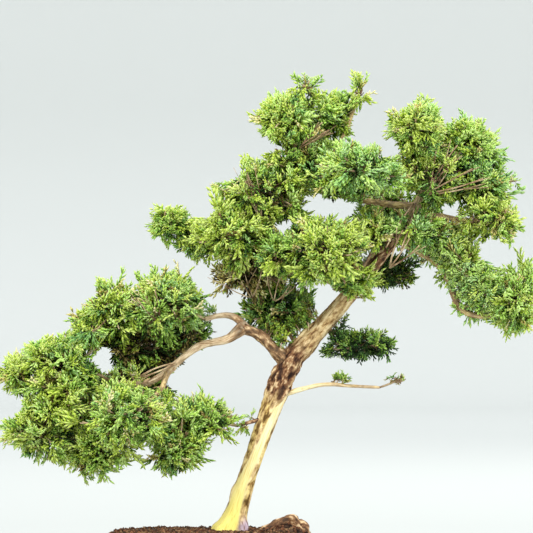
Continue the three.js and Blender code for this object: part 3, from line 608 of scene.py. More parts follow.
def live_stripe(angle, z, strips):
    heights, middles, widths, yellows = np.array(LIVE_STRIPE, float).T
    middle = np.radians(np.interp(z, heights, middles))
    width = np.radians(np.interp(z, heights, widths))
    off = np.abs((angle - middle + math.pi) % math.tau - math.pi)
    edge = width * (1 + 0.1 * strips)
    inside = smooth(0.12, -0.12, off - edge)
    return inside * smooth(STRIPE_END[1], STRIPE_END[0], z), np.interp(z, heights, yellows)


# How dark red and how yellow the bark is on kinds of limb, and how rough
DARK_KINDS = {"bough": 0.85, "twig": 0.95, "root": 0.95}
YELLOW_KINDS = {"limb": 0.65, "live": 0.4}
LIMB_ROUGHNESS = {"root": 0.2}
PLAIN_ROUGHNESS = 0.07
OLD_BARK = (2.3, 4.5)  # the radii between which a limb's bark turns from young to old
TWIG_THINNER = 0.78
COLLAR = 0.35  # how far a limb swells where it leaves its parent, as a share of its radius
KNOT = np.array([18.5, -2.0, 188.0])  # the dark knot at the end of the left bough
KNOT_REACH = 7.5
FORK = {"height": 157, "reach": 19}  # the cracked bark at the fork
STRIP_DEPTHS = (0.1, 0.26)  # how deep the clefts are, away from the fork and at it, as shares of the radius
WOOD_SUNK = 0.35  # how far the live wood lies below the bark
# A peeling flake on the trunk's left edge, and a grey knob at its foot
FLAKE = {"z": 77, "angle": math.radians(98), "half_height": 4, "half_angle": 0.3, "height": 1.4}
FOOT_KNOB = {"z": 57.5, "angle": math.radians(222), "half_height": 4.5, "half_angle": 0.34, "height": 3.4}
# Heights between which a colour of bark comes in, and those between which it goes out
GOLD_OUT = (142, 132)
RED_AT_FORK = ((134, 147), (180, 165))
# Where the trunk runs through the dark hollow in the crown, its bark is painted dark red-brown: painted shade
HOLLOW_PAINTED_SHADE = ((222, 230), (250, 242))


def swelling(spot, z, angle):
    return bell((z - spot["z"]) / spot["half_height"], (angle - spot["angle"]) / spot["half_angle"])


def clefts_between(strips, fine):
    """0 in the clefts between strips of bark, and 1 on the strips."""
    return np.clip(0.6 * np.abs(strips) + 0.4 * np.abs(fine), 0, 1)


def trunk_relief(route, angle, along, radius, rng):
    """The trunk's relief: flutes, root lobes, strips of bark between clefts and a bare stripe of wood."""
    z = route["point"][:, 2:3]
    at_fork = bell((z - FORK["height"]) / FORK["reach"]) + 0 * angle
    long_strips = strand_waves(angle, along, rng, (2, 8), 24)
    strips = mix(long_strips, strand_waves(angle, along, rng, (3, 8), 11), at_fork)
    cleft = clefts_between(strips, strand_waves(angle, along, rng, (8, 24), 10))
    live, yellow = live_stripe(angle, z, strips)
    radius = radius * trunk_shape(route["t"][:, None], angle, z)
    radius = radius * (1 + 0.13 * at_fork * np.cos(2 * angle + 1.0 + 0.1 * along))
    knobs = strand_waves(angle, along, rng, (1, 4), 13, 10)
    radius = radius * (1 + 0.045 * knobs * (0.5 + at_fork))
    relief = radius * mix(*STRIP_DEPTHS, at_fork) * (cleft - 0.45)
    radius = radius + relief * (1 - 0.8 * live) - WOOD_SUNK * live
    flake, knob = swelling(FLAKE, z, angle), swelling(FOOT_KNOB, z, angle)
    radius = radius + FLAKE["height"] * flake + FOOT_KNOB["height"] * knob
    red = 1.15 * smooth(*RED_AT_FORK[0], z) * smooth(*RED_AT_FORK[1], z)
    red = np.clip(red - 0.25 * strips * (at_fork > 0.1), 0, 1)
    return radius, {
        "cleft": mix(cleft, np.clip(0.6 + 0.4 * cleft, 0, 1), live),
        "live": np.maximum(live, flake) * (1 - knob),
        "low": yellow * live * (1 - flake),
        "gold": smooth(*GOLD_OUT, z) * smooth(-1.4, 0.2, strips),
        "red": np.maximum(red, smooth(*HOLLOW_PAINTED_SHADE[0], z) * smooth(*HOLLOW_PAINTED_SHADE[1], z)),
        "gray": np.clip(1.5 * knob, 0, 1),
    }


def limb_relief(route, angle, along, radius, rng, kind, parent_radius):
    """A limb's relief: a collar at its root, bumps and strips of bark."""
    strips = strand_waves(angle, along, rng, (1, 5), 13)
    cleft = clefts_between(strips, strand_waves(angle, along, rng, (4, 10), 7))
    collar = COLLAR * np.exp(-np.maximum(0, along - 0.7 * parent_radius) / (1.6 * route["radius"][0]))
    bumps = strand_waves(angle, along, rng, (1, 3), 9, 8)
    apart = np.linalg.norm(route["point"] - KNOT, axis=1)[:, None]
    near_knot = bell(apart / KNOT_REACH) + 0 * angle
    rough = LIMB_ROUGHNESS.get(kind, PLAIN_ROUGHNESS)
    radius = radius * (1 + collar + rough * bumps + 0.5 * near_knot) + 2 * rough * radius * (cleft - 0.45)
    radius = radius * (TWIG_THINNER if kind == "twig" else 1)
    none = np.zeros_like(radius)
    live = none
    if kind == "live":
        live = smooth(44, 20, along) * smooth(-0.6, 0.4, np.sin(angle * 2 + 0.1 * along) + 0.8)
    return radius, {
        "cleft": cleft * (1 - 0.75 * near_knot),
        "live": live,
        "low": none,
        "gold": none + YELLOW_KINDS.get(kind, 0.0),
        "red": np.maximum(near_knot, DARK_KINDS.get(kind, 0.0) + none),
        "gray": none,
    }


def bark_tube(batch, route, sides, rng, kind, parent_radius=0.0):
    """One limb with its bark's relief, and the values that colour it."""
    points, radii = route["point"], route["radius"]
    lengths = np.linalg.norm(np.diff(points, axis=0), axis=1)
    along = np.concatenate([[0], np.cumsum(lengths)])[:, None]
    side, other = frames_along(route["tangent"])
    angle = (math.tau * np.arange(sides) / sides)[None, :]
    radius = np.repeat(radii[:, None], sides, axis=1)
    if kind == "trunk":
        radius, looks = trunk_relief(route, angle, along, radius, rng)
    else:
        radius, looks = limb_relief(route, angle, along, radius, rng, kind, parent_radius)
    looks["age"] = np.clip((radii[:, None] - OLD_BARK[0]) / (OLD_BARK[1] - OLD_BARK[0]), 0, 1)
    across = np.cos(angle)[:, :, None] * side[:, None, :] + np.sin(angle)[:, :, None] * other[:, None, :]
    tube = (points[:, None, :] + radius[:, :, None] * across).reshape(-1, 3)
    flat = (radii[:, None] * np.cos(angle), radii[:, None] * np.sin(angle), along)
    flat = np.stack(np.broadcast_arrays(*flat), axis=-1).reshape(-1, 3)

    def closed(values):
        values = np.broadcast_to(values, radius.shape).ravel()
        return np.concatenate([values, values[[0, -1]]])

    batch.add(
        np.vstack([tube, points[[0, -1]]]),
        tube_faces(len(points), sides),
        place=np.vstack([flat, flat[[0, -1]]]),
        **{name: closed(values) for name, values in looks.items()},
    )


def make_routes():
    """Each limb's coarse route, as in the construction, and the points and radii that it runs through."""
    trunk = np.array(TRUNK, float)
    through = {"trunk": (trunk[:, :3], trunk[:, 3])}
    routes = {"trunk": trace(*through["trunk"], TRUNK_STEPS)}
    parents = {}
    for name, parent, share, root, tip, *points in LIMBS:
        start = place_on(routes[parent], share)
        points = np.vstack([start["point"], points])
        radii = np.linspace(root, tip, len(points))
        steps = LIMB_STEPS_PER_POINT * (len(points) - 1) + 1
        routes[name] = trace(points, radii, steps)
        through[name] = (points, radii)
        parents[name] = start["radius"]
    return routes, through, parents


def place_on(route, share):
    i = round(share * (len(route["t"]) - 1))
    return {key: values[i] for key, values in route.items()}


def clip_to_soil(batch):
    """Draws what lies under the soil's level up to just below it, so that a foot stands on the soil."""
    for points in batch.points:
        points[:, 2] = np.maximum(points[:, 2], SOIL["level"] - FOOT_DEPTH)


# The kinds of bark other than the plain yellowish one: a dark bough or twig, pinkish grey or partly bare
LIMB_KINDS = {
    "left_bough": "bough",
    "left_upper_limb": "pink",
    "left_lower_limb": "pink",
    "left_far_limb": "pink",
    "left_inner_bough": "twig",
    "low_right_branch": "live",
}
# How many steps and sides the meshes of the trunk and the surface root have, and the limbs' step
TRUNK_MESH = (430, 88)
ROOT_MESH = (70, 30)
LIMB_MESH = {"step": 0.9, "least": 16, "sides": 22}


def make_bark(through, parents, material):
    rng = np.random.default_rng(11)
    trunk, limbs, root = Batch(), Batch(), Batch()
    bark_tube(trunk, trace(*through["trunk"], TRUNK_MESH[0]), TRUNK_MESH[1], rng, "trunk")
    clip_to_soil(trunk)
    make_piece("trunk_bark", trunk, [material], ["trunk"])
    names = [name for name in through if name != "trunk"]
    for name in names:
        points, radii = through[name]
        length = np.linalg.norm(np.diff(points, axis=0), axis=1).sum()
        route = trace(points, radii, max(LIMB_MESH["least"], int(length / LIMB_MESH["step"])))
        bark_tube(limbs, route, LIMB_MESH["sides"], rng, LIMB_KINDS.get(name, "limb"), parents[name])
    make_piece("limb_bark", limbs, [material], names)
    arch = np.array(ROOT_ARCH, float)
    bark_tube(root, trace(arch[:, :3], arch[:, 3], ROOT_MESH[0]), ROOT_MESH[1], rng, "root")
    clip_to_soil(root)
    make_piece("surface_root_bark", root, [material], ["surface_root"])


# Foliage

LOBES = np.array([lobe for pad in PADS for lobe in pad[4:]], float)
OWNERS = np.array([i for i, pad in enumerate(PADS) for _ in pad[4:]])
# The waves that make the crown's surface craggy: nine long ones and nine short ones
crag_rng = np.random.default_rng(77)
CRAG_WAVES = np.concatenate([crag_rng.normal(0, math.tau / length, (9, 3)) for length in (30, 15)])
CRAG_TURNS = crag_rng.uniform(0, math.tau, len(CRAG_WAVES))
# How far each lobe is drawn in, to leave room for the shoots' reach
DRAWN_IN = 5.7
DRAWN_IN_OTHERS = {"apex": 7.5, "apex_right": 8.5, "right_spur": 1.8, "under_right": 4.0, "left_tip": 6.5}
LOBES_DRAWN_IN = np.array([DRAWN_IN_OTHERS.get(PAD_NAMES[i], DRAWN_IN) for i in OWNERS])
IS_CLIPPED = np.array([PAD_KINDS.get(PAD_NAMES[i]) == "clipped" for i in OWNERS])
CRAGGINESS = np.where(IS_CLIPPED, CALM_CRAGS, CRAGS)


def crags(points):
    """A smooth uneven pattern through space, mostly between -1 and 1."""
    return np.sin(points @ CRAG_WAVES.T + CRAG_TURNS).sum(axis=1) / 3.4


def surface(points):
    """How far points lie outside the crown's craggy surface, and the lobe that each belongs to."""
    offset = points[:, None, :] - LOBES[None, :, :3]
    share = np.linalg.norm(offset / LOBES[None, :, 3:], axis=2)
    length = np.linalg.norm(offset, axis=2)
    each = length * (1 - 1 / np.maximum(share, 0.05))
    nearest = each.argmin(axis=1)
    joined = -BLEND * np.log(np.exp(-(each - each.min(axis=1, keepdims=True)) / BLEND).sum(axis=1))
    joined = joined + each.min(axis=1)
    return joined + LOBES_DRAWN_IN[nearest] + CRAGGINESS[nearest] * crags(points), nearest


def outwards(points):
    """The direction that leads straight out of the crown."""
    step = 0.8
    here = surface(points)[0]
    slopes = [surface(points + step * axis)[0] - here for axis in np.eye(3)]
    return unit(np.stack(slopes, axis=1))


def on_picture(points):
    """Where the camera sees points, on the upright plane through the middle of the tree."""
    share = VIEW["distance"] / (VIEW["distance"] + points[:, 1])
    return VIEW["x"] + (points[:, 0] - VIEW["x"]) * share, VIEW["z"] + (points[:, 2] - VIEW["z"]) * share


def within(points, middle_x, middle_z, half_x, half_z):
    """Which points lie within an ellipse on the picture."""
    x, z = on_picture(points)
    return ((x - middle_x) / half_x) ** 2 + ((z - middle_z) / half_z) ** 2 < 1


def is_in_gap(points):
    return np.any([within(points, *gap) for gap in SKY_GAPS], axis=0)


def bare_places(routes):
    """Sample points of the bare limbs, and how far in front of them on the picture nothing hangs."""
    points, radii = [], []
    for name, start, end, share in BARE_LIMBS:
        route = routes[name]
        fine = np.linspace(start, end, 60)
        points.append(np.stack([np.interp(fine, route["t"], route["point"][:, k]) for k in range(3)], axis=1))
        radii.append(share * np.interp(fine, route["t"], route["radius"]))
    return np.concatenate(points), np.concatenate(radii)


def is_clear(points, limbs):
    """Where points keep clear of all the limbs, and don't hide the bare ones."""
    route_points, route_radii, bare_points, bare_radii = limbs
    gaps = np.linalg.norm(points[:, None, :] - route_points[None], axis=2) - route_radii[None]
    x, z = on_picture(points)
    bare_x, bare_z = on_picture(bare_points)
    apart = np.hypot(x[:, None] - bare_x[None], z[:, None] - bare_z[None])
    hides = (apart < bare_radii[None]) & (points[:, None, 1] < bare_points[None, :, 1])
    return (gaps.min(axis=1) > LIMB_MARGIN) & ~hides.any(axis=1)


def spread_directions(count, turn):
    """Evenly spread directions over a sphere."""
    i = np.arange(count)
    z = 1 - (2 * i + 1) / count
    level = np.sqrt(1 - z * z)
    angle = GOLDEN_TURN * i + turn
    return np.stack([level * np.cos(angle), level * np.sin(angle), z], axis=1)


def lobe_area(lobe):
    rx, ry, rz = lobe[3:]
    power = 1.6
    mean = ((rx * ry) ** power + (ry * rz) ** power + (rx * rz) ** power) / 3
    return 4 * math.pi * mean ** (1 / power)


def random_units(rng, count):
    return unit(rng.normal(size=(count, 3)))


def twig_tubes(batch, start, bend, end, base, tip, rings):
    """Three-sided twigs along curves from start over bend to end, with radii from base to tip."""
    count = len(start)
    if not count:
        return
    t = np.linspace(0, 1, rings)[None, :, None]
    line = (1 - t) ** 2 * start[:, None] + 2 * t * (1 - t) * bend[:, None] + t**2 * end[:, None]
    axis = unit(end - start)
    reference = np.where(np.abs(axis[:, 2:3]) > 0.9, RIGHT, UP)
    side = unit(np.cross(axis, reference))
    other = np.cross(axis, side)
    radius = mix(base, tip, t)[..., None]
    turns = math.tau * np.arange(3)[:, None] / 3
    across = np.cos(turns) * side[:, None, None, :] + np.sin(turns) * other[:, None, None, :]
    points = (line[:, :, None, :] + radius * across).reshape(-1, 3)
    faces = []
    for r in range(rings - 1):
        for i in range(3):
            a, b = 3 * r + i, 3 * r + (i + 1) % 3
            faces += [(a, b, b + 3), (a, b + 3, a + 3)]
    last = 3 * (rings - 1)
    faces += [(2, 1, 0), (last, last + 1, last + 2)]
    faces = np.array(faces)[None] + (3 * rings * np.arange(count))[:, None, None]
    batch.add(points, faces.reshape(-1, 3))


def shoot_kinds():
    """Shoots one unit long: threads that fork off a short axis to both sides and curve up at their tips."""
    rng = np.random.default_rng(5)
    kinds = []
    for _ in range(SHOOT_KINDS):
        roots, tips = [(0, 0, 0)], [(1, rng.uniform(-0.1, 0.1), rng.uniform(-0.05, 0.15))]
        for k in range(FINGERS_PER_SHOOT - 1):
            place = mix(0.14, 0.8, k / (FINGERS_PER_SHOOT - 2)) + rng.uniform(-0.04, 0.04)
            hand = 1 if k % 2 else -1
            spread = math.radians(rng.uniform(16, 40))
            lift = math.radians(rng.uniform(-18, 34))
            length = mix(0.52, 0.3, place) * rng.uniform(0.75, 1.25)
            level = math.cos(lift)
            step = np.array([math.cos(spread) * level, hand * math.sin(spread) * level, math.sin(lift)])
            root = np.array([place, 0.0, 0.0])
            roots.append(root)
            tips.append(root + length * step)
        kinds.append((np.array(roots, float), np.array(tips, float)))
    return kinds


# A finger's three faces at its root, then the three at its tip, which are a shade lighter: painted shade at
# the root and painted light on the tip
FINGER_FACES = np.array([(0, 2, 1), (0, 3, 2), (0, 1, 3), (4, 1, 2), (4, 2, 3), (4, 3, 1)])
PAINTED_TIP_LIGHT = np.array([0, 0, 0, 1, 1, 1])
FINGER_TURNS = (0.5, 0.5 + 2.0944, 0.5 + 4.1888)  # where round its axis a finger's three edges are


def finger_points(roots, tips):
    """Five points for each finger: its root, three round its widest part and its tip."""
    axis = unit(tips - roots)
    side = unit(np.cross(axis, np.array([0.13, 0.21, 0.97])))
    other = np.cross(axis, side)
    wide = mix(roots, tips, 0.55)
    width = FINGER_WIDTH / 2
    ring = [wide + width * (math.cos(a) * side * 1.25 + math.sin(a) * other * 0.8) for a in FINGER_TURNS]
    return np.stack([roots, *ring, tips], axis=1)


KINDS = [finger_points(*kind) for kind in shoot_kinds()]


def add_shoots(batch, roots, directions, lengths, families, shades, rng):
    """Shoots at the roots, each turned at random round its own direction."""
    count = len(roots)
    across = unit(np.cross(directions, random_units(rng, count)))
    third = np.cross(directions, across)
    turn = np.stack([directions, across, third], axis=2) * lengths[:, None, None]
    which = rng.integers(0, SHOOT_KINDS, count)
    for kind, shape in enumerate(KINDS):
        chosen = which == kind
        n = chosen.sum()
        if not n:
            continue
        fingers, corners, _ = shape.shape
        points = np.einsum("nij,fpj->nfpi", turn[chosen], shape) + roots[chosen][:, None, None, :]
        first = corners * np.arange(n * fingers).reshape(n, fingers)
        faces = FINGER_FACES[None, None] + first[:, :, None, None]
        # Fingers further along a shoot get lighter colours and each finger's root faces a shade darker:
        # painted light on the tips and painted shade at the roots
        further = np.concatenate([[0.1], np.linspace(-0.45, 0.45, fingers - 1)])
        each = np.floor(shades[chosen][:, None] + further + rng.uniform(0.1, 0.9, (n, fingers)))
        shade = np.clip(each[:, :, None] - 1 + PAINTED_TIP_LIGHT, 0, SHADES - 1).astype(int)
        looks = families[chosen][:, None, None] * SHADES + shade
        batch.add(points.reshape(-1, 3), faces.reshape(-1, 3), looks.ravel())


def hue_family(points, warmth, dry_share, rng):
    """Which family of hues each shoot has: broad soft drifts of warm, green and cool, and some dry ones."""
    x, y, z = points.T
    drift = 0.45 * np.sin(x / 15 + z / 19 + 1.3) + 0.4 * np.sin(z / 11 - x / 23 + y / 17)
    drift = drift + 1.1 * warmth + rng.normal(0, 0.75, len(points))
    family = np.full(len(points), FAMILIES.index("green"))
    family[drift > 0.55] = FAMILIES.index("warm")
    family[drift < -0.95] = FAMILIES.index("cool")
    patch = 0.5 + 0.5 * np.sin(x / 7 + y / 9) * np.sin(z / 8 - x / 13 + 0.7)
    family[rng.uniform(size=len(points)) < dry_share * 2 * patch] = FAMILIES.index("dry")
    return family


def is_thinned(points, rng):
    """Which points fall away where the foliage is thin."""
    chance = rng.uniform(size=len(points))
    gone = np.any([within(points, *place) & (chance > share) for *place, share in THIN_PLACES], axis=0)
    return gone & ((points[:, 1] < THIN_FRONT["y"]) | (points[:, 2] > THIN_FRONT["z"]))


def is_free(roots, tips, limbs, rng):
    """Which shoots keep clear of the gaps, the limbs and the places where the foliage is thin."""
    middles = mix(roots, tips, 0.5)
    free = ~is_in_gap(tips) & ~is_in_gap(middles) & is_clear(tips, limbs) & is_clear(middles, limbs)
    return free & ~is_thinned(middles, rng)


def tuft_directions(outward, per_tuft, rng):
    """Directions that fan out evenly round each tuft's own."""
    tilt = np.arccos(1 - (np.arange(per_tuft) + 0.4) / per_tuft * (1 - math.cos(TUFT_CONE)))
    turn = GOLDEN_TURN * np.arange(per_tuft)[None] + rng.uniform(0, 6.3, (len(outward), 1))
    side = unit(np.cross(outward, np.array([0.31, 0.17, 0.93])))
    other = np.cross(outward, side)
    across = np.cos(turn)[:, :, None] * side[:, None] + np.sin(turn)[:, :, None] * other[:, None]
    fan = np.cos(tilt)[None, :, None] * outward[:, None] + np.sin(tilt)[None, :, None] * across
    return unit(fan + rng.normal(0, 0.16, fan.shape) + 0.14 * UP).reshape(-1, 3)


def grow_tufts(pad, tufts, kind, limbs, leaves, rng):
    """Fans of shoots at the twigs' ends, as far as they stay within the crown's surface."""
    warmth, light, dry_share = PADS[pad][3]
    per_tuft, lengths, painted_shade, may_lead = TUFTS[kind]
    ends, outward, sizes = tufts
    count = len(ends)
    directions = tuft_directions(outward, per_tuft, rng)
    which = np.repeat(np.arange(count), per_tuft)
    n = len(which)
    roots = ends[which] - outward[which] * rng.uniform(0, 2.5, (n, 1)) + rng.normal(0, 0.7, (n, 3))
    leads = (rng.uniform(size=n) < LEADERS["share"]) & may_lead
    reach = rng.uniform(*REACH, count)[which] + np.where(leads, LEADERS["further"], 0)
    length = rng.uniform(*lengths, n) * sizes[which] * np.where(leads, LEADERS["longer"], 1)
    tips = roots + directions * length[:, None]
    for _ in range(4):
        length = np.where(surface(tips)[0] < reach, length, length * 0.84)
        tips = roots + directions * length[:, None]
    outside, _ = surface(tips)
    kept = (outside < reach) & (length > LEAST_SHOOT) & is_free(roots, tips, limbs, rng)
    roots, directions, length, which = roots[kept], directions[kept], length[kept], which[kept]
    tips, outside = tips[kept], outside[kept]
    mood = rng.normal(0, MOOD_SPREAD, count)
    # Painted light and shade: shoots that reach further out, point up or sit on a pad's top get lighter
    # colours
    shade = TUFT_SHADE + 0.13 * outside + 0.3 * directions[:, 2] + 0.35 * outward[which][:, 2]
    shade = shade + light - painted_shade + mood[which] + rng.normal(0, 0.8, len(which))
    family = hue_family(tips, warmth + 0.9 * mood[which], dry_share, rng)
    add_shoots(leaves, roots, directions, length, family, shade, rng)
    return roots, which


RAY = np.linspace(0.35, 1.75, 29)  # the places along a ray where the surface is looked for, in half-axes


def ray_ends(lobe_index, aims, inset):
    """Where rays from a lobe's centre come up to the crown's surface, and which of them do so here."""
    centre, half = LOBES[lobe_index, :3], LOBES[lobe_index, 3:]
    places = centre + aims[:, None, :] * half * RAY[None, :, None]
    outside, nearest = (found.reshape(len(aims), -1) for found in surface(places.reshape(-1, 3)))
    crossed = outside > -inset[:, None]
    left = nearest != lobe_index
    first = np.where(crossed.any(axis=1), crossed.argmax(axis=1), len(RAY) - 1)
    away = np.where(left.any(axis=1), left.argmax(axis=1), len(RAY))
    ends = places[np.arange(len(aims)), first]
    return ends, (first <= away) & crossed.any(axis=1)


def grow_pad(pad, route, limbs, leaves, twigs, rng):
    """The stem, twigs and tufts of one pad, in its own part of the crown."""
    name, _, share = PADS[pad][:3]
    kind = PAD_KINDS.get(name, "full")
    start = place_on(route, share)
    reach_from = start["point"]
    for lobe_index in np.flatnonzero(OWNERS == pad):
        lobe = LOBES[lobe_index]
        centre = lobe[:3]
        middle = mix(reach_from, centre, 0.5) + rng.normal(0, 1.5, 3)
        base = min(STEM["base"], STEM["most"] * start["radius"])
        twig_tubes(twigs, reach_from[None], middle[None], centre[None], base, STEM["tip"], 8)
        reach_from = centre
        count = SPARSE_COUNT if kind == "sparse" else max(8, round(lobe_area(lobe) / TUFT_AREA))
        aims = unit(spread_directions(count, rng.uniform(0, 6.3)) + rng.normal(0, 0.13, (count, 3)))
        inset = INSET + rng.uniform(-2.5, 4.0, count)
        ends, here = ray_ends(lobe_index, aims, inset)
        here &= ~is_in_gap(ends)
        ends = ends[here]
        count = len(ends)
        bends = mix(centre[None], ends, 0.5) + rng.normal(0, 1.8, (count, 3)) - UP * 1.2
        centres = np.repeat(centre[None], count, 0)
        twig_tubes(twigs, centres, bends, ends, *TWIG_RADII["tuft"], 5)
        outward = unit(outwards(ends) + 0.45 * unit(ends - centre) + rng.normal(0, 0.2, (count, 3)))
        tufts = (ends, outward, rng.uniform(0.8, 1.2, count))
        roots, which = grow_tufts(pad, tufts, kind, limbs, leaves, rng)
        bare = rng.uniform(size=len(roots)) < JOINED_SHARE
        joints = mix(ends[which], bends[which], rng.uniform(0.15, 0.5, (len(which), 1)))
        halfway = mix(joints, roots, 0.5) + rng.normal(0, 0.7, joints.shape)
        twig_tubes(twigs, joints[bare], halfway[bare], roots[bare], *TWIG_RADII["shoot"], 2)
        if kind == "sparse":
            continue
        # Shoots further in, which close the pad's inside; their darker colours are painted shade
        count = max(5, round(0.5 * lobe_area(lobe) / TUFT_AREA))
        aims = unit(spread_directions(count, rng.uniform(0, 6.3)) + rng.normal(0, 0.2, (count, 3)))
        ends, _ = ray_ends(lobe_index, aims, INSET + rng.uniform(5.0, 9.0, count))
        ends = ends[~is_in_gap(ends)]
        grow_tufts(pad, (ends, unit(ends - centre), np.ones(len(ends))), "inner", limbs, leaves, rng)


def grow_limb_sprays(spec, through, limbs, leaves, twigs, rng):
    """Twigs with a few shoots each, straight from a limb."""
    limb, first, last, count, size, lean, look = spec
    points, radii = through[limb]
    shares = np.linspace(first, last, count) + rng.uniform(-0.02, 0.02, count)
    shares = np.clip(shares, 0, 1)
    starts = rope_through(points, shares)
    before, after = np.maximum(shares - 0.01, 0), np.minimum(shares + 0.01, 1)
    ahead = unit(rope_through(points, after) - rope_through(points, before))
    away = random_units(rng, count) * 0.9 + np.array(lean)
    away = unit(away - (away * ahead).sum(axis=1, keepdims=True) * ahead + 0.5 * ahead)
    length = size * rng.uniform(0.7, 1.2, (count, 1))
    ends = starts + away * (length + np.interp(shares, np.linspace(0, 1, len(radii)), radii)[:, None])
    bends = mix(starts, ends, 0.5) + rng.normal(0, 0.8, ends.shape)
    kept = is_clear(ends, limbs) & ~is_in_gap(ends)
    starts, ends, bends, away = starts[kept], ends[kept], bends[kept], away[kept]
    count = len(ends)
    twig_tubes(twigs, starts, bends, ends, *TWIG_RADII["spray"], 5)
    warmth, light, dry_share = PADS[PAD_NAMES.index(look)][3]
    for place, per_tuft in SPRAY_TUFTS:
        at = mix(mix(starts, bends, place), mix(bends, ends, place), place)
        directions = tuft_directions(unit(away + 0.2 * UP), per_tuft, rng)
        which = np.repeat(np.arange(count), per_tuft)
        roots = at[which] + rng.normal(0, 0.3, (len(which), 3))
        lengths = rng.uniform(0.6, 0.95, len(which)) * min(10.0, 4 + size)
        tips = roots + directions * lengths[:, None]
        good = is_free(roots, tips, limbs, rng)
        # Shoots that point up get lighter colours: painted light
        shade = SPRAY_SHADE + light + 0.3 * directions[:, 2] + rng.normal(0, 0.65, len(which))
        family = hue_family(tips, warmth, dry_share, rng)
        add_shoots(leaves, roots[good], directions[good], lengths[good], family[good], shade[good], rng)


def grow_twig_fans(twigs, rng):
    """Fans of bare twigs that lie on the foliage, each forked once."""
    for start, end, count, spread, radius in TWIG_FANS:
        start, end = np.array(start, float), np.array(end, float)
        across = unit(np.cross(end - start, -BACK))
        places = np.linspace(-1, 1, count)[:, None] * spread
        ends = end + places * across + rng.normal(0, 1.5, (count, 3))
        starts = start + 0.06 * places * across + rng.normal(0, 0.4, (count, 3))
        bends = mix(starts, ends, 0.5) + 0.25 * places * across + rng.normal(0, 1.2, (count, 3)) - 3 * BACK
        twig_tubes(twigs, starts, bends, ends, radius, 0.55 * radius, 7)
        forks = mix(mix(starts, bends, 0.6), mix(bends, ends, 0.6), 0.6)
        side_ends = forks + 0.45 * (ends - starts) + rng.normal(0, 3.0, (count, 3))
        thin = 0.5 * radius
        twig_tubes(twigs, forks, mix(forks, side_ends, 0.5) - 0.8 * BACK, side_ends, thin, 0.7 * thin, 4)


# Pads that share one mesh of leaves
LEAF_GROUPS = {
    "lower_left": ["left_far", "left_low_west", "left_back"],
    "lower_middle": ["left_low_mid", "left_low_right", "left_under"],
    "left_shoulder": ["left_dome", "left_tip", "fork_tuft"],
    "crown_middle": ["mid_left", "mid_low", "mid_center", "back_mid"],
    "crown_upper": ["upper_left", "upper_mid", "back_upper"],
    "crown_top": ["apex", "apex_right", "right_top_inner"],
    "crown_right": ["right_top_outer", "back_right", "right_tip"],
    "right_side": ["right_hanging", "right_end", "center_right", "low_right_sprays"],
    "crown_front": ["front_middle", "front_right", "under_right", "right_spur"],
}
FAN_GROUP = "crown_front"  # the group whose twigs the fans join


def make_foliage(routes, through):
    materials = leaf_materials()
    twig_look = twig_material()
    route_points = np.concatenate([r["point"] for r in routes.values()])
    route_radii = np.concatenate([r["radius"] for r in routes.values()])
    limbs = (route_points, route_radii, *bare_places(routes))
    for group, members in LEAF_GROUPS.items():
        leaves, twigs = Batch(), Batch()
        for name in members:
            pad = PAD_NAMES.index(name)
            rng = np.random.default_rng(100 + pad)
            grow_pad(pad, routes[PADS[pad][1]], limbs, leaves, twigs, rng)
            for spec in LIMB_SPRAYS:
                if spec[-1] == name:
                    grow_limb_sprays(spec, through, limbs, leaves, twigs, rng)
        if group == FAN_GROUP:
            grow_twig_fans(twigs, np.random.default_rng(61))
        replaced = [f"{name}_foliage" for name in members]
        make_piece(f"leaves_{group}", leaves, materials, replaced)
        make_piece(f"twigs_{group}", twigs, [twig_look], replaced)


# Pot and soil


def on_oval(inset, angle):
    """Places on the pot's oval, at an inset from the rim's outer edge."""
    power = 2 / POT["roundness"]
    x = (POT["half_length"] - inset) * np.sign(np.cos(angle)) * np.abs(np.cos(angle)) ** power
    y = (POT["half_depth"] - inset) * np.sign(np.sin(angle)) * np.abs(np.sin(angle)) ** power
    return x, y


def oval(inset, z, sides):
    """One level ring of the pot's oval."""
    x, y = on_oval(inset, math.tau * np.arange(sides) / sides)
    return np.stack([x, y, np.full(sides, float(z))], axis=1)


def rounded_profile(points, radius, steps=4):
    """A profile whose corners are rounded, as far as the stretches beside them allow."""
    points = np.array(points, float)
    made = [points[0]]
    for before, corner, after in zip(points, points[1:], points[2:]):
        into, out = before - corner, after - corner
        cut = min(radius, 0.45 * np.linalg.norm(into), 0.45 * np.linalg.norm(out))
        start, end = corner + unit(into) * cut, corner + unit(out) * cut
        for t in np.linspace(0, 1, steps):
            made.append((1 - t) ** 2 * start + 2 * t * (1 - t) * corner + t**2 * end)
    made.append(points[-1])
    return made


def make_pot(material):
    profile = rounded_profile(POT_OUTSIDE + POT_INSIDE, POT["edge_radius"])
    rings = [oval(inset, z, POT["sides"]) for inset, z in profile]
    batch = Batch()
    points = np.vstack(rings + [[[0, 0, POT_OUTSIDE[0][1]]], [[0, 0, POT_INSIDE[-1][1]]]])
    batch.add(points, tube_faces(len(rings), POT["sides"]))
    piece = make_piece("clay_pot", batch, [material], ["pot"])
    for side in (-1, 1):
        x = side * CHANNEL["x"] * MM
        bpy.ops.mesh.primitive_cube_add(location=(x, 0, 0))
        channel = bpy.context.object
        channel.scale = (CHANNEL["width"] / 2 * MM, 2 * POT["half_depth"] * MM, CHANNEL["height"] * MM)
        bpy.ops.mesh.primitive_cylinder_add(location=(x, 0, 0), **DRAIN)
        drain = bpy.context.object
        for tool in (channel, drain):
            cut = piece.modifiers.new("cut", "BOOLEAN")
            cut.operation = "DIFFERENCE"
            cut.object = tool
            cut.solver = "EXACT"
            bpy.context.view_layer.objects.active = piece
            bpy.ops.object.modifier_apply(modifier=cut.name)
            bpy.data.objects.remove(tool)


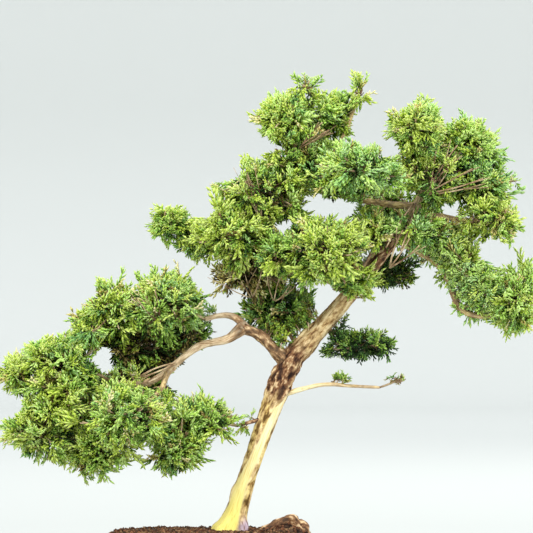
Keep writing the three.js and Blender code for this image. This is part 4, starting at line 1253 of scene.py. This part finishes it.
def soil_height(x, y):
    """The soil's surface: a lumpy mound that falls to just under the rim and is flat round the trunk."""
    power = POT["roundness"]
    norm = np.abs(x / POT["half_length"]) ** power + np.abs(y / POT["half_depth"]) ** power
    inset = (1 - norm ** (1 / power)) * POT["half_depth"]
    share = np.clip((inset - SOIL["edge_inset"]) / (SOIL["plateau_inset"] - SOIL["edge_inset"]), 0, 1)
    height = mix(SOIL["edge_level"], SOIL["level"], np.sin(share * math.pi / 2))
    hollows = 1 + np.sin(x * 0.31 + y * 0.17) * np.cos(y * 0.37 - x * 0.11)
    lumpy = smooth(0, 0.3, share) * smooth(SOIL["flat_inset"], SOIL["lumpy_inset"], inset)
    heap = bell((x - HEAP["x"]) / HEAP["half_x"], (y - HEAP["y"]) / HEAP["half_y"])
    return height - SOIL["hollow"] * hollows * lumpy + HEAP["height"] * heap


def make_granules(rng):
    """The largest granules, in the places that they have in the construction."""
    batch = Batch()
    corners, faces = grain_shape()
    for i in range(GRANULES["count"]):
        share = math.sqrt((i + 0.5) / GRANULES["count"])
        turn = GOLDEN_TURN * i
        x = GRANULES["half_length"] * share * math.cos(turn)
        y = GRANULES["half_depth"] * share * math.sin(turn)
        (low_x, high_x), (low_y, high_y) = GRANULES["root"]
        at_root = low_x < x < high_x and low_y < y < high_y
        if at_root or math.hypot(x - TRUNK[0][0], y - TRUNK[0][1]) < GRANULES["foot_radius"]:
            continue
        across = mix(*GRANULES["across"], (0.618 * i) % 1)
        points, split = subdivided(corners, faces)
        points = mix(unit(points), points, 0.45) * rng.uniform(0.84, 1.12, (len(points), 1))
        half = np.array([across / 2, 0.45 * across, GRANULES["height"] / 2])
        points = points * half + (x, y, SOIL["level"] + GRANULES["rise"] - GRANULES["height"] / 2)
        batch.add(points, split, i % len(GRANULE_KINDS))
    return batch


def subdivided(points, faces):
    """Each triangle split into four."""
    edges = np.sort(np.concatenate([faces[:, [0, 1]], faces[:, [1, 2]], faces[:, [2, 0]]]), axis=1)
    unique, place = np.unique(edges, axis=0, return_inverse=True)
    middles = points[unique].mean(axis=1)
    ab, bc, ca = place.reshape(3, -1) + len(points)
    a, b, c = faces.T
    parts = ((a, ab, ca), (b, bc, ab), (c, ca, bc), (ab, bc, ca))
    return np.concatenate([points, middles]), np.concatenate([np.stack(part, axis=1) for part in parts])


def grain_shape():
    """A rough block with eight faces, one unit across."""
    corners = np.array([(1, 0, 0), (-1, 0, 0), (0, 1, 0), (0, -1, 0), (0, 0, 1), (0, 0, -1)], float)
    faces = [(0, 2, 4), (2, 1, 4), (1, 3, 4), (3, 0, 4), (2, 0, 5), (1, 2, 5), (3, 1, 5), (0, 3, 5)]
    return corners, np.array(faces)


def make_soil_bed(material, rng):
    rings = []
    sides = BED["sides"]
    inner = POT["half_depth"] - SOIL["edge_inset"] - SOIL["gap"]
    for share in np.linspace(0, 1, BED["rings"]):
        ring = oval(POT["half_depth"] - inner, 0, sides) * (1 - share)
        ring[:, 2] = soil_height(ring[:, 0], ring[:, 1]) + rng.normal(0, BED["uneven"], sides)
        rings.append(ring)
    floor = oval(POT_INSIDE[-1][0] + SOIL["gap"], POT_INSIDE[-1][1] + SOIL["gap"], sides)
    wall = oval(POT_INSIDE[2][0] + SOIL["gap"], POT_INSIDE[2][1], sides)
    rings = [floor, wall] + rings[:-1]
    batch = Batch()
    points = np.vstack(rings + [[[0, 0, floor[0][2]]], [[0, 0, BED["middle"]]]])
    batch.add(points, tube_faces(len(rings), sides))
    make_piece("soil_bed", batch, [material], ["soil"])


def make_soil_grains(materials, rng):
    count = GRAINS["count"]
    angle = rng.uniform(0, math.tau, count)
    reach = np.sqrt(rng.uniform(0, 1, count))
    x, y = (place * reach for place in on_oval(SOIL["edge_inset"] + GRAINS["inset"], angle))
    size = rng.uniform(*GRAINS["size"], count)
    size = size * np.where(rng.uniform(size=count) < GRAINS["coarse_share"], GRAINS["coarse"], GRAINS["fine"])
    z = soil_height(x, y) + size * rng.uniform(*GRAINS["sunk"], count)
    corners, faces = grain_shape()
    n = len(corners)
    shape = corners[None] * rng.uniform(0.75, 1.15, (count, n, 1)) + rng.normal(0, 0.14, (count, n, 3))
    axis = random_units(rng, count)
    across = unit(np.cross(axis, random_units(rng, count)))
    turn = np.stack([axis, across, np.cross(axis, across)], axis=2) * size[:, None, None]
    points = np.einsum("nij,npj->npi", turn, shape) + np.stack([x, y, z], axis=1)[:, None, :]
    grains = Batch()
    shares = [kind[-1] for kind in GRANULE_KINDS.values()]
    looks = np.repeat(rng.choice(len(materials), count, p=shares), len(faces))
    each = faces[None] + n * np.arange(count)[:, None, None]
    grains.add(points.reshape(-1, 3), each.reshape(-1, 3), looks)
    large = make_granules(rng)
    for points, split, look in zip(large.points, large.faces, large.looks):
        grains.add(points, split - split.min(), look)
    make_piece("soil_grains", grains, materials, ["soil"], is_smooth=False)


# Studio

# A flat floor, how far it then rises in a curve and how high its wall is, in millimetres
STAGE = {"flat": 3400, "rise": 500, "high": 900, "sides": 96, "steps": 12}
FLOOR_TONES = [(0.0, 0.43, 0.445, 0.43), (1.0, 0.57, 0.585, 0.57)]  # under the pot and far away
FLOOR_NEAR = 0.8  # how far from the pot the floor starts to get lighter, in metres


def floor_material():
    """A plain pale floor that gets slightly lighter with distance from the pot."""
    paint = Paint("pale_floor", 0.9, 0.1)
    away = paint.nodes.new("ShaderNodeVectorMath")
    away.operation = "LENGTH"
    paint.put(away, {0: paint.where()})
    far = (STAGE["flat"] + STAGE["rise"]) * MM
    reach = paint.scaled(away.outputs["Value"], {"From Min": FLOOR_NEAR, "From Max": far})
    paint.put(paint.shader, {"Base Color": paint.ramp(reach, *FLOOR_TONES)})
    return paint.material


def make_stage():
    """A pale floor that curves up all round into a low wall."""
    flat, rise, high, sides, steps = STAGE.values()
    profile = [(flat, 0.0)]
    for a in np.linspace(0, math.pi / 2, steps)[1:]:
        profile.append((flat + rise * math.sin(a), rise * (1 - math.cos(a))))
    profile.append((flat + rise, high))
    angle = math.tau * np.arange(sides) / sides
    points = [(0, 0, 0)]
    for r, z in profile:
        points += [(r * math.cos(a), r * math.sin(a), z) for a in angle]
    faces = [(0, 1 + i, 1 + (i + 1) % sides) for i in range(sides)]
    for k in range(len(profile) - 1):
        for i in range(sides):
            a, b = 1 + k * sides + i, 1 + k * sides + (i + 1) % sides
            faces += [(a, a + sides, b + sides), (a, b + sides, b)]
    mesh = bpy.data.meshes.new("studio_floor")
    mesh.from_pydata([tuple(MM * c for c in p) for p in points], [], faces)
    mesh.polygons.foreach_set("use_smooth", np.full(len(faces), True))
    mesh.materials.append(floor_material())
    add_object("studio_floor", mesh)


# Each light: its name, where it stands, how wide it is, its power and its colour. All metres and watts.
LIGHTS = [
    ("key", (-0.75, -1.15, 1.35), 0.9, 15, (1.0, 0.97, 0.9)),
    ("fill", (1.4, -1.5, 0.7), 1.4, 14.5, (0.95, 0.98, 1.0)),
    ("rim", (0.5, 1.5, 1.3), 0.8, 10, (1.0, 1.0, 0.97)),
]
LIT_MIDDLE = (0.04, 0.0, 0.2)
SKY = {"color": (0.95, 0.98, 1.0, 1), "strength": 1.75}


def area_light(name, place, size, watts, color):
    """A round light that faces the middle of the tree and is not itself seen."""
    light = bpy.data.lights.new(name, "AREA")
    light.shape = "DISK"
    light.size = size
    light.energy = watts
    light.color = color
    lamp = add_object(name, light)
    lamp.location = place
    towards = np.array(LIT_MIDDLE) - np.array(place)
    lamp.rotation_euler = Vector(towards).to_track_quat("-Z", "Y").to_euler()
    lamp.visible_camera = False


def make_lights():
    for light in LIGHTS:
        area_light(*light)
    world = bpy.data.worlds.new("studio")
    world.use_nodes = True
    backdrop = world.node_tree.nodes["Background"]
    backdrop.inputs["Color"].default_value = SKY["color"]
    backdrop.inputs["Strength"].default_value = SKY["strength"]
    bpy.context.scene.world = world


def make_camera():
    camera = bpy.data.cameras.new("photo_view")
    camera.sensor_fit = "HORIZONTAL"
    camera.sensor_width = 36
    camera.lens = camera.sensor_width * VIEW["distance"] / VIEW["width"]
    camera.clip_start = 0.05
    camera.clip_end = 30
    viewer = add_object("photo_view", camera)
    viewer.location = (VIEW["x"] * MM, -VIEW["distance"] * MM, VIEW["z"] * MM)
    viewer.rotation_euler = (math.pi / 2, 0, 0)
    bpy.context.scene.camera = viewer
    bpy.context.scene.view_settings.view_transform = "Standard"


make_camera()
routes, through, parents = make_routes()
make_bark(through, parents, bark_material())
make_foliage(routes, through)
make_pot(clay_material())
soil_looks = [soil_material(kind) for kind in GRANULE_KINDS]
soil_rng = np.random.default_rng(23)
make_soil_bed(soil_looks[-1], soil_rng)
make_soil_grains(soil_looks, soil_rng)
make_stage()
make_lights()
